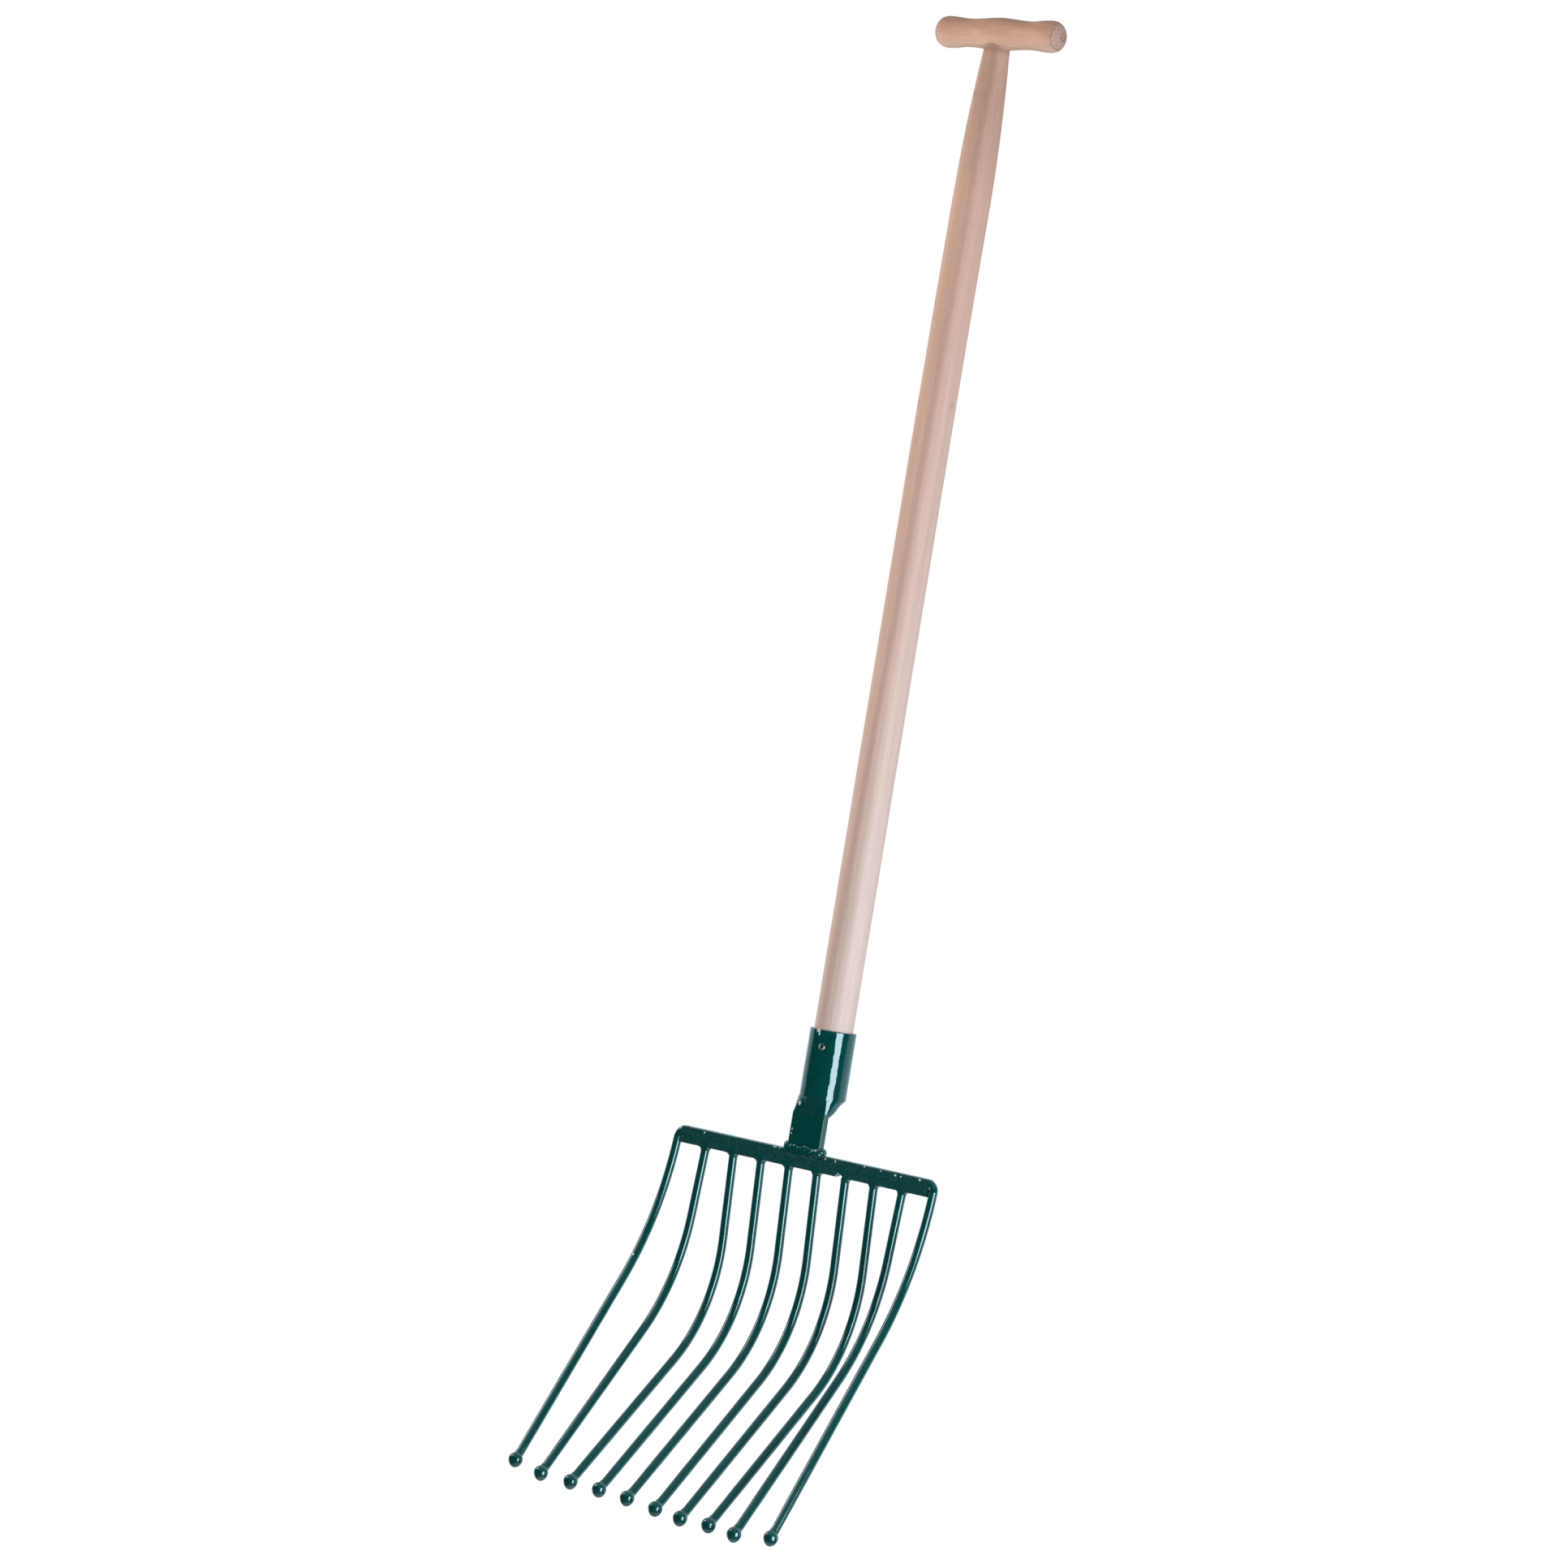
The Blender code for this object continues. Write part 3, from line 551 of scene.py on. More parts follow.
def spot_field(rows, chips_and_glints, raggedness):
    """1 inside the spots and 0 outside, with an edge torn in waves of 1.6 mm."""
    field = np.zeros(rows.shape[:2])
    torn = 1 + raggedness * unevenness(rows, 0.0016, 17)
    for x, y, z, radius in chips_and_glints:
        distance = np.linalg.norm(rows - (x, y, z), axis=-1) * torn
        field = np.maximum(field, np.clip(1.5 - distance / radius, 0.0, 1.0))
    return field


# Rounding of the neck's long edges and of the tube's rim
NECK_EDGE = 0.0010
RIM_EDGE = 0.0009
# Where the tube is pressed, the press is ahead by this share above and behind by it below
PRESS_LEAD = 0.05
# Length of the bore that is drawn
BORE_LENGTH = 0.03
# Dents of the forged socket: height, length and seed.  They sink into the outside
SOCKET_DENTS = ((0.00010, 0.03, 11), (0.00004, 0.008, 12), (0.00002, 0.0035, 13))
DENT_SINK = 0.00016
SOCKET_CHIP_DEPTH = 0.0002


class PITCHFORK_OT_socket(bpy.types.Operator):
    """Build the socket, its pressed part and its flat neck"""
    bl_idname = "pitchfork.socket"
    bl_label = "Socket"

    def execute(self, context):
        """Rows run up the outside from the neck's foot to the rim and down the bore.  Between
        the tube and the neck a point moves in a straight line from its place on the circle
        to its place on the rounded rectangle."""
        head = sizes("head")
        around = 224
        share = (np.arange(around) + 0.5) / around
        outer = (SOCKET_BOX[1].x - SOCKET_BOX[0].x) / 2
        bore = outer - head.socket_wall
        pressed_foot = NECK_FOOT_Z + head.neck_length
        tube_foot = pressed_foot + head.pressed_length
        rim_foot = RIM_Z - RIM_EDGE
        height = np.concatenate([np.linspace(NECK_FOOT_Z, pressed_foot, 42),
                                 np.linspace(pressed_foot, tube_foot, 34)[1:],
                                 np.linspace(tube_foot, rim_foot, 74)[1:]])
        pressed = np.clip((tube_foot - height) / head.pressed_length, 0.0, 1.0)
        pressed = pressed + PRESS_LEAD * np.sin(pressed * 2 * np.pi) * (pressed > 0)
        pressed = pressed[:, None, None]
        flat = flat_outline(share, head.neck_width, head.neck_thickness, NECK_EDGE)
        flat = flat + (-head.neck_aside, BAR_Y)
        circle = spokes(tube_turn(share))
        outside = lifted(outer * circle * (1 - pressed) + flat * pressed, height)
        angle = np.linspace(0.0, np.pi, 12)[1:]
        rim_radius = np.where(angle <= np.pi / 2, outer - RIM_EDGE * (1 - np.cos(angle)),
                              bore + RIM_EDGE * (1 - np.sin(angle)))
        bore_height = np.linspace(rim_foot, RIM_Z - BORE_LENGTH, 20)[1:]
        inner_radius = np.concatenate([rim_radius, bore + 0 * bore_height])
        inner_height = np.concatenate([rim_foot + RIM_EDGE * np.sin(angle), bore_height])
        inside = lifted(inner_radius[:, None, None] * circle, inner_height)
        rows = np.concatenate([outside, inside])
        on_outside = (np.arange(len(rows)) < len(outside))[:, None]
        chips_and_glints = spot_field(rows, SOCKET_CHIPS, raggedness=0.35)
        depth = layers(rows, SOCKET_DENTS) - DENT_SINK - SOCKET_CHIP_DEPTH * chips_and_glints
        rows = rows + unit(rows * (1, 1, 0)) * (depth * on_outside)[..., None]
        wear = bell(rows[..., 2], RIM_Z, 0.0012) * on_outside
        place(skin("socket_and_neck", rows, {"wear": wear, "chip": chips_and_glints}, angle=50.0),
              enamel(), "green_enamel", "socket")
        return {'FINISHED'}


# The rivet's turn from -Y towards +X, and its end from the punched dimple outwards: distance
# from its axis and height over the end's ring
RIVET_TURN = math.radians(11.0)
RIVET_END = ((0.0002, -0.0010), (0.0009, -0.0009), (0.0014, -0.0006), (0.0018, -0.0002),
             (0.0022, 0.0), (0.0028, -0.0001), (0.0033, -0.0004), (0.0037, -0.0008),
             (0.0038, -0.0012), (0.0038, -0.0016), (0.0026, -0.0016))
DIMPLE_RADIUS = 0.0016
HEAD_RIM_RADIUS = 0.0036
RIM_OXIDE = 0.6


class PITCHFORK_OT_rivet(bpy.types.Operator):
    """Build the rivet through the socket"""
    bl_idname = "pitchfork.rivet"
    bl_label = "Rivet"

    def execute(self, context):
        """A turned surface about the rivet's axis: a low dome with a punched dimple at each
        end, and the shank between."""
        out, up = np.array(RIVET_END).T
        depth = (RIVET_BOX[1].y - RIVET_BOX[0].y) / 2 - out.max() * math.sin(RIVET_TURN)
        half = depth / math.cos(RIVET_TURN)
        radius = np.concatenate([out, out[::-1]])
        along = np.concatenate([half + up, -(half + up[::-1])])
        rows = turned_rows(np.stack([radius, along], axis=-1), 48)
        hollow = np.where(radius > HEAD_RIM_RADIUS, RIM_OXIDE, radius < DIMPLE_RADIUS)
        hollow = hollow[:, None] + 0 * rows[..., 0]
        direction = Vector((math.sin(RIVET_TURN), -math.cos(RIVET_TURN), 0.0))
        spin = np.array(direction.to_track_quat('Z', 'Y').to_matrix())
        rows = rows @ spin.T + RIVET_CENTRE.z * UP
        place(skin("rivet", rows, {"hollow": hollow}), steel(), "bright_steel", "socket_rivet")
        return {'FINISHED'}


# Drops where the welder paused: x, y, z, radius and height
WELD_LUMPS = ((-0.0147, -0.0210, -1.1577, 0.0016, 0.0008),
              (-0.0063, -0.0210, -1.1569, 0.0014, 0.0006),
              (-0.0026, -0.0210, -1.1560, 0.0013, 0.0007),
              (0.0075, -0.0210, -1.1566, 0.0016, 0.0008),
              (0.0105, -0.0215, -1.1608, 0.0015, 0.0006),
              (0.0160, -0.0212, -1.1580, 0.0020, 0.0002),
              (-0.0245, -0.0160, -1.1550, 0.0024, 0.0010),
              (0.0235, -0.0161, -1.1583, 0.0026, 0.0010))
# How much wider and thicker than the neck the bead's outline is, and its corners
WELD_WIDER = 0.0016
WELD_THICKER = 0.0006
WELD_CORNER = 0.0026
# Length of one of the welder's steps
WELD_STEP = 0.0048
# The bead's half width, half height and lift: along the front, what the neck's sides add,
# what the middle of a step adds, and the share of the welder's unevenness
WELD_SECTION = ((0.0018, 0.0020, 0.0001, 0.0), (0.0058, -0.0020, 0.0002, 0.0005),
                (-0.0010, 0.0035, 0.0, 0.0005))
# Lumps of the bead: height, length and seed
WELD_WAVES = ((0.00022, 0.009, 21), (0.00020, 0.004, 22), (0.00008, 0.0016, 24))


class PITCHFORK_OT_neck_weld(bpy.types.Operator):
    """Build the lumpy weld round the neck's foot"""
    bl_idname = "pitchfork.neck_weld"
    bl_label = "Neck weld"

    def execute(self, context):
        """A bead carried round the neck's outline: its section is an ellipse that swells and
        shrinks with the welder's steps, and coarse waves make it lumpy."""
        head = sizes("head")
        steps, around = 520, 72
        outline = flat_outline(np.arange(steps) / steps, head.neck_width + WELD_WIDER,
                               head.neck_thickness + WELD_THICKER, WELD_CORNER)
        outline = outline + (-head.neck_aside, BAR_Y)
        middle = np.concatenate([outline, np.full((steps, 1), NECK_FOOT_Z)], axis=-1)
        after = np.roll(middle, -1, axis=0)
        out = np.cross(unit(after - np.roll(middle, 1, axis=0)), UP)
        length = np.cumsum(np.linalg.norm(after - middle, axis=-1))
        on_side = np.abs(out[:, :1])
        ripple = np.abs(np.sin(np.pi * length / WELD_STEP))[:, None]
        reached = unevenness(middle, 0.012, 23)[:, None]
        across, upright, lift = (front + side * on_side + step * ripple + hand * reached
                                 for front, side, step, hand in WELD_SECTION)
        turn = turns(around)
        normal = out[:, None] * np.cos(turn)[:, None] + UP * np.sin(turn)[:, None]
        rows = (middle[:, None] + out[:, None] * (across * np.cos(turn))[..., None]
                + UP * (upright * np.sin(turn) + lift)[..., None])
        lumps = layers(rows, WELD_WAVES)
        for lump_x, lump_y, lump_z, radius, height in WELD_LUMPS:
            distance = np.linalg.norm(rows - (lump_x, lump_y, lump_z), axis=-1)
            lumps = lumps + height * bell(distance, 0.0, radius)
        rows = rows + normal * lumps[..., None]
        piece = skin("weld_bead", rows, angle=180.0, ring=True)
        place(piece, enamel(), "green_enamel", "neck_weld")
        return {'FINISHED'}


# The rods: each is an arm in the bar, a corner and a tine

# The lean where a tine leaves the bar, its straight length there, the radius of its long
# bend, its lean below the bend and its drop from the bar to its ball
OUTER_TINE = (math.radians(5.8), 0.0, 0.324, math.radians(34.8), 0.348)
SECOND_TINE = (math.radians(4.7), 0.067, 0.209, math.radians(42.5), 0.353)
INNER_TINE = (math.radians(-4.2), 0.087, 0.155, math.radians(49.0), 0.354)
# Each tip's own stray towards +X and its extra drop, in steps of the hand's unevenness
TIP_STEP = 0.0005
TIP_STRAYS = (-1, 2, -2, 0, 1, 5, 0, -3, -1, 2)
TIP_DROPS = (-4, -4, -3, -3, -2, 2, 6, 4, 7, 7)
# The weld between the bar's two rows
ROW_GAP = 0.0003
# Rounding of the edges along that weld
SEAM_EDGE = 0.00004
# Rows of a rod's surface along an outer arm, an inner arm, a corner and a tine
OUTER_ARM_ROWS, INNER_ARM_ROWS, CORNER_ROWS, TINE_ROWS = 320, 50, 44, 360
ROD_COLUMNS = 96


def bar_z():
    """Height of the line between the bar's two rows."""
    return SPACER_CENTRE.z + (sizes("head").rod_diameter + ROW_GAP) / 2


def row_z(number):
    """Height of a rod's row over the line between the rows: the outer rods' is the upper."""
    half = (sizes("head").rod_diameter + ROW_GAP) / 2
    return half if number in (1, TINE_COUNT) else -half


def tine_kind(number):
    """The bend of a tine: of the outer pair, the second pair or the inner ones."""
    from_edge = min(number, TINE_COUNT + 1 - number)
    return {1: OUTER_TINE, 2: SECOND_TINE}.get(from_edge, INNER_TINE)


def tine_x(number):
    """Distance of a tine from the fork's middle plane."""
    head = sizes("head")
    if number in (1, TINE_COUNT):
        side = -1 if number == 1 else 1
        return side * ((TINE_COUNT - 3) / 2 * head.pitch + head.outer_pitch)
    return (number - (TINE_COUNT + 1) / 2) * head.pitch


def tine_line(number, samples):
    """Middle line of a tine under its corner, from the bar's middle as origin: a straight
    length, an arc in the plane across the bar and a straight end.  Gives y and z, the lean
    at each point and the drop from the bar to the ball."""
    head = sizes("head")
    lean, straight, radius, tip_lean, drop = tine_kind(number)
    drop = drop + TIP_STEP * TIP_DROPS[number - 1]
    start_y = -math.sin(lean) * head.bend_radius
    start_z = row_z(number) - math.cos(lean) * head.bend_radius
    arc_length = radius * (tip_lean - lean)
    arc_foot_z = (start_z - math.cos(lean) * straight
                  - radius * (math.sin(tip_lean) - math.sin(lean)))
    length = straight + arc_length + (arc_foot_z + drop) / math.cos(tip_lean)
    along = np.linspace(0.0, length, samples)
    on_arc = np.clip((along - straight) / radius, 0.0, tip_lean - lean)
    before = np.minimum(along, straight)
    after = np.maximum(along - straight - arc_length, 0.0)
    angle = lean + on_arc
    y = (start_y - math.sin(lean) * before + radius * (np.cos(angle) - math.cos(lean))
         - math.sin(tip_lean) * after)
    z = (start_z - math.cos(lean) * before - radius * (np.sin(angle) - math.sin(lean))
         - math.cos(tip_lean) * after)
    return y, z, angle, drop


def stray_at(z, number, drop):
    """Sideways stray of a tine at a height under the bar."""
    return TIP_STEP * TIP_STRAYS[number - 1] * np.clip(-z / drop, 0.0, 1.0)


# An outer rod's section turns round over this share of its bend
ROUNDING_SHARE = 0.4
# The hammer left this tine's bend in flat faces, one each step and a share as deep as full
# ones would be
FACETED_TINE = 1
FACET_STEP = math.radians(30.0)
FACET_SHARE = 0.35


def outer_rails(number):
    """The rails of an outer rod, whose outside follows its own round bend."""
    head = sizes("head")
    row, bend, radius = row_z(1), head.bend_radius, head.rod_diameter / 2
    outside = bend + radius
    fan = np.linspace(0.0, 1.0, CORNER_ROWS)
    arm = np.linspace(abs(tine_x(number)), bend, OUTER_ARM_ROWS)[:-1]
    angle = np.pi / 2 * (1 + fan)
    facets = outside + 0 * angle
    if number == FACETED_TINE:
        half_step = FACET_STEP / 2
        flat = outside * np.cos(half_step) / np.cos(angle % FACET_STEP - half_step)
        facets = flat * FACET_SHARE + outside * (1 - FACET_SHARE)
    centre, spoke = np.array([bend, row - bend]), spokes(angle)
    inner = np.concatenate([np.stack([arm, 0 * arm], axis=-1),
                            centre + spoke * (bend - radius)])
    rail = np.concatenate([np.stack([arm, 0 * arm + 2 * row - ROW_GAP / 2], axis=-1),
                           centre + spoke * facets[:, None]])
    square = np.concatenate([1 + 0 * arm, 1 - smoothstep(fan / ROUNDING_SHARE)])
    return inner, rail, square, square


# An inner corner's weld ends this far under the bar, over a short slope.  The edges of its
# outside start to round this far above the bar's foot
WELD_UNDER = 0.0012
WELD_SLOPE = 0.0015
EDGE_END = 0.001
# The weld in this tine's corner reaches further out, stops short and leaves a notch of that
# height, deepest this far under the arm's middle
NOTCHED_TINE = 7
WELD_REACH = 0.0040
NOTCH_HEIGHT = 0.0040
NOTCH_DEPTH = 0.0022
NOTCH_DEEPEST = 0.002
# The arm before it ends in a slanting cut, further back below and forward above over some rows
CUT_BACK = 0.0068
CUT_FORWARD = 0.0012
CUT_ROWS = 20


def inner_rails(number):
    """The rails of an inner rod, whose outside follows the square corner that the weld fills
    up.  The arm reaches to the rod beside it that is nearer to the fork's side."""
    head = sizes("head")
    row, bend, radius = row_z(1), head.bend_radius, head.rod_diameter / 2
    outside = bend + radius
    fan = np.linspace(0.0, 1.0, CORNER_ROWS)
    beside = number - 1 if number <= TINE_COUNT // 2 else number + 1
    pitch = abs(tine_x(number) - tine_x(beside))
    arm = np.linspace(-pitch + row, -bend, INNER_ARM_ROWS)[:-1]
    angle = np.pi / 2 * (1 - fan)
    centre, spoke = np.array([-bend, -row - bend]), spokes(angle)
    square = (outside + ROW_GAP / 2) / np.maximum(np.cos(angle), np.sin(angle))
    weld_foot = -2 * row + (NOTCH_HEIGHT if number == NOTCHED_TINE else -WELD_UNDER)
    filled = between(centre[1] + square * np.sin(angle), weld_foot, weld_foot + WELD_SLOPE)
    rail = centre + spoke * (outside + (square - outside) * filled)[:, None]
    if number == NOTCHED_TINE:
        risen = between(rail[:, 1], centre[1], -row - NOTCH_DEEPEST)
        rail[:, 0] += WELD_REACH * filled * np.cos(angle) - NOTCH_DEPTH * risen * (1 - filled)
    inner = np.concatenate([np.stack([arm, 0 * arm - 2 * row + ROW_GAP / 2], axis=-1),
                            centre + spoke * (bend - radius)])
    rail = np.concatenate([np.stack([arm, 0 * arm], axis=-1), rail])
    if number == NOTCHED_TINE - 1:
        cut = np.clip(1 - np.arange(len(arm)) / CUT_ROWS, 0.0, 1.0)
        inner[:len(arm), 0] += CUT_BACK * cut
        rail[:len(arm), 0] -= CUT_FORWARD * cut
    below_bar = between(-rail[:, 1], 2 * row - EDGE_END, row + bend)
    return inner, rail, np.concatenate([1 + 0 * arm, 1 - smoothstep(fan)]), 1 - below_bar


def corner_rails(number):
    """The bar's part of a rod as two rails, in the plane along the bar, for the left half:
    the inside of the bend and its outside.  Gives the inner rail, the outer rail, and how
    square the section's edges are at each."""
    return outer_rails(number) if number in (1, TINE_COUNT) else inner_rails(number)


# Knocks through the enamel of the bar and the rods: x, y, z and radius.  The three at x
# -0.0302 to -0.0372 on the bar's top edge and the two at x 0.160 on the last rod's corner
# are painted glints
ROD_CHIPS_AND_GLINTS = ((-0.1597, -0.0194, -1.1640, 0.0013), (-0.1276, -0.0193, -1.1640, 0.0009),
             (0.0289, -0.0193, -1.1633, 0.0009), (0.0413, -0.0193, -1.1636, 0.0010),
             (0.0780, -0.0193, -1.1622, 0.0010), (0.0985, -0.0193, -1.1632, 0.0008),
             (0.1169, -0.0193, -1.1640, 0.0011), (0.1240, -0.0193, -1.1644, 0.0010),
             (0.1470, -0.0193, -1.1634, 0.0012), (-0.1635, -0.0611, -1.3007, 0.0012),
             (-0.1660, -0.0600, -1.2980, 0.0010), (-0.0302, -0.0193, -1.1622, 0.0009),
             (-0.0350, -0.0193, -1.1621, 0.0008), (-0.0372, -0.0193, -1.1622, 0.0009),
             (0.1603, -0.0192, -1.1700, 0.0011), (0.1606, -0.0190, -1.1755, 0.0010))
# The enamel on the upper row's edges is worn this many times as much
OUTER_WEAR = 1.5


def rod_rows(number):
    """Rows of a rod's surface.  In the bar each row is a rounded rectangle between the two
    rails, and under the corner it is a circle square to the middle line.  Gives the rows and
    at each point the wear of its edge and how much it lies in the hammered bar."""
    head = sizes("head")
    radius = head.rod_diameter / 2
    half = 1 if number <= TINE_COUNT // 2 else -1
    outer = number in (1, TINE_COUNT)
    inner, rail, inner_square, outer_square = corner_rails(number)
    line_y, line_z, lean, drop = tine_line(number, TINE_ROWS)
    middle, out = (rail + inner) / 2, unit(rail - inner)
    half_width = np.linalg.norm(rail - inner, axis=-1)[:, None] / 2
    sharp_in, sharp_out = head.edge_radius, SEAM_EDGE
    if outer:
        sharp_in, sharp_out = sharp_out, sharp_in
    edge_in = sharp_in * inner_square + radius * (1 - inner_square)
    edge_out = sharp_out * outer_square + radius * (1 - outer_square)
    turn, corner = section_turns(half_width, radius, ROD_COLUMNS)
    length = reach(turn, half_width, radius, edge_in[:, None], edge_out[:, None])
    across = length * np.cos(turn)
    x = middle[:, :1] + out[:, :1] * across
    z = middle[:, 1:] + out[:, 1:] * across
    below = np.clip(row_z(number) - z, 0.0, None)
    share = np.clip(below / (math.cos(lean[0]) * head.bend_radius), 0.0, 1.0)
    y = -length * np.sin(turn) - math.tan(lean[0]) * below * smoothstep(share)
    bar_rows = np.stack([x * half, y, z], axis=-1)
    side = -half if outer else half
    turn, _ = section_turns(np.full((1, 1), radius), radius, ROD_COLUMNS)
    front = radius * np.sin(turn)
    tine_rows = np.stack([
        stray_at(line_z, number, drop)[:, None] + radius * np.cos(turn) * side,
        line_y[:, None] - front * np.cos(lean)[:, None],
        line_z[:, None] + front * np.sin(lean)[:, None]], axis=-1)
    rows = np.concatenate([bar_rows, tine_rows[1:]])
    rows = rows + np.array([tine_x(number), BAR_Y, bar_z()])
    exposed = corner * ((np.cos(turn) > 0) == outer)
    flat = np.concatenate([np.minimum(inner_square, outer_square), 0 * line_y[1:]])[:, None]
    return rows, (OUTER_WEAR if outer else 1.0) * exposed * flat, flat + 0 * rows[..., 0]


# Dents of the hammered bar, and slow waves of the rods: height, length and seed
BAR_DENTS = ((0.00009, 0.013, 33), (0.00004, 0.004, 34))
ROD_WAVES = ((0.00004, 0.03, 31),)
ROD_CHIP_DEPTH = 0.00012


def bar_waves(rows, dull):
    """Dents of the hammered bar.  Both rows and the spacer read them at their own place."""
    return dull * layers(rows, BAR_DENTS)


class PITCHFORK_OT_rods(bpy.types.Operator):
    """Build the ten bent rods"""
    bl_idname = "pitchfork.rods"
    bl_label = "Rods"

    def execute(self, context):
        """Each rod's surface is pushed in and out along the line to its row's middle by slow
        waves, which every rod reads at its own place, so neighbours stay flush."""
        for number in range(1, TINE_COUNT + 1):
            rows, wear, dull = rod_rows(number)
            waves = bar_waves(rows, dull) + layers(rows, ROD_WAVES)
            chips_and_glints = spot_field(rows, ROD_CHIPS_AND_GLINTS, raggedness=0.4)
            rows = pushed(rows, waves - ROD_CHIP_DEPTH * chips_and_glints)
            nodes = [f"tine_{number:02d}"]
            corner = f"corner_weld_{number:02d}"
            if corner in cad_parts:
                nodes.append(corner)
            fields = {"wear": wear, "chip": chips_and_glints, "dull": dull}
            place(skin(f"rod_{number:02d}", rows, fields), enamel(), "green_enamel", *nodes)
        return {'FINISHED'}


class PITCHFORK_OT_spacer(bpy.types.Operator):
    """Build the spacer that fills the lower row under the neck"""
    bl_idname = "pitchfork.spacer"
    bl_label = "Spacer"

    def execute(self, context):
        """Rounded rectangles carried along X between the two middle rods."""
        head = sizes("head")
        radius = head.rod_diameter / 2
        end = head.pitch / 2 - row_z(1)
        half_height = row_z(1) - ROW_GAP / 4
        turn, _ = section_turns(half_height, radius, ROD_COLUMNS)
        length = reach(turn, half_height, radius, head.edge_radius, SEAM_EDGE)
        ring = np.stack([0 * turn, -length * np.sin(turn),
                         length * np.cos(turn) - half_height], axis=-1)
        rows = ring + np.linspace(-end, end, 40)[:, None, None] * (1, 0, 0)
        rows = rows + np.array([SPACER_CENTRE.x, BAR_Y, bar_z()])
        dull = np.ones(rows.shape[:2])
        rows = pushed(rows, bar_waves(rows, dull))
        place(skin("spacer", rows, {"dull": dull}), enamel(), "green_enamel", "centre_spacer")
        return {'FINISHED'}


# The weld's collar between rod and ball: its margin on the rod and its height
COLLAR_MARGIN = 0.0001
COLLAR_HEIGHT = 0.0035
# The collar meets the ball this far outside the rod
SEAT_MARGIN = 0.0004
# The balls' unevenness as a share of their size, and the length of its waves
BALL_UNEVENNESS = 0.012
BALL_WAVE = 0.012
# The balls' middles lie this much over the ends of the tines' middle lines
BALL_LIFT = 0.0008


class PITCHFORK_OT_balls(bpy.types.Operator):
    """Build the ten balls on the tips"""
    bl_idname = "pitchfork.balls"
    bl_label = "Balls"

    def execute(self, context):
        """A turned surface about the tip's direction: a collar that flares from the rod and
        the ball.  The enamel dripped from the hanging fork, so each point under the ball's
        middle is drawn down by the square of its depth."""
        head = sizes("head")
        rod, ball = head.rod_diameter / 2, head.ball_diameter / 2
        seat = math.asin((rod + SEAT_MARGIN) / ball)
        sphere = ball * spokes(np.linspace(seat, np.pi - 0.02, 60))[:, ::-1]
        foot, top = sphere[0]
        up = np.linspace(1.0, 0.0, 12)[:-1]
        flare = rod + COLLAR_MARGIN + (foot - rod - COLLAR_MARGIN) * (1 - up) ** 3
        collar = np.stack([flare, top + COLLAR_HEIGHT * up], axis=-1)
        inside = np.array([[rod / 2, top + COLLAR_HEIGHT + COLLAR_MARGIN]])
        plain = turned_rows(np.concatenate([inside, collar, sphere]), 72)
        for number in range(1, TINE_COUNT + 1):
            waves = unevenness(plain + number, BALL_WAVE, 41)[..., None]
            turned = np.array(Matrix.Rotation(-tine_kind(number)[3], 3, 'X')).T
            rows = (plain * (1 + BALL_UNEVENNESS * waves)) @ turned
            rows[..., 2] -= head.ball_drip * np.clip(-rows[..., 2] / ball, 0.0, 1.0) ** 2
            line_y, line_z, _, drop = tine_line(number, 3)
            centre = np.array([tine_x(number) + stray_at(line_z[-1], number, drop),
                               BAR_Y + line_y[-1], bar_z() + line_z[-1] + BALL_LIFT])
            place(skin(f"ball_{number:02d}", rows + centre), enamel(), "green_enamel",
                  f"tip_ball_{number:02d}")
        return {'FINISHED'}


# Finishes

def fill(tree, node, inputs):
    """Link or set a node's inputs.  Another node stands for the first output it has in use."""
    for socket, source in inputs.items():
        if isinstance(source, bpy.types.Node):
            source = next(output for output in source.outputs if output.enabled)
        if isinstance(source, bpy.types.NodeSocket):
            tree.links.new(source, node.inputs[socket])
        else:
            node.inputs[socket].default_value = source


def add(tree, kind, inputs=None, **settings):
    """Add a shader node, set its properties, and fill its inputs."""
    node = tree.nodes.new("ShaderNode" + kind)
    for name, value in settings.items():
        setattr(node, name, value)
    fill(tree, node, inputs or {})
    return node


def empty_tree(owner):
    """The node tree of a new material or world, cleared."""
    owner.use_nodes = True
    owner.node_tree.nodes.clear()
    return owner.node_tree


def new_material(name):
    """A material of that name with an empty Principled shader, or the one made before."""
    known = bpy.data.materials.get(name)
    if known:
        return known, None, None
    material = bpy.data.materials.new(name)
    material.use_nodes = True
    tree = material.node_tree
    return material, tree, tree.nodes["Principled BSDF"]


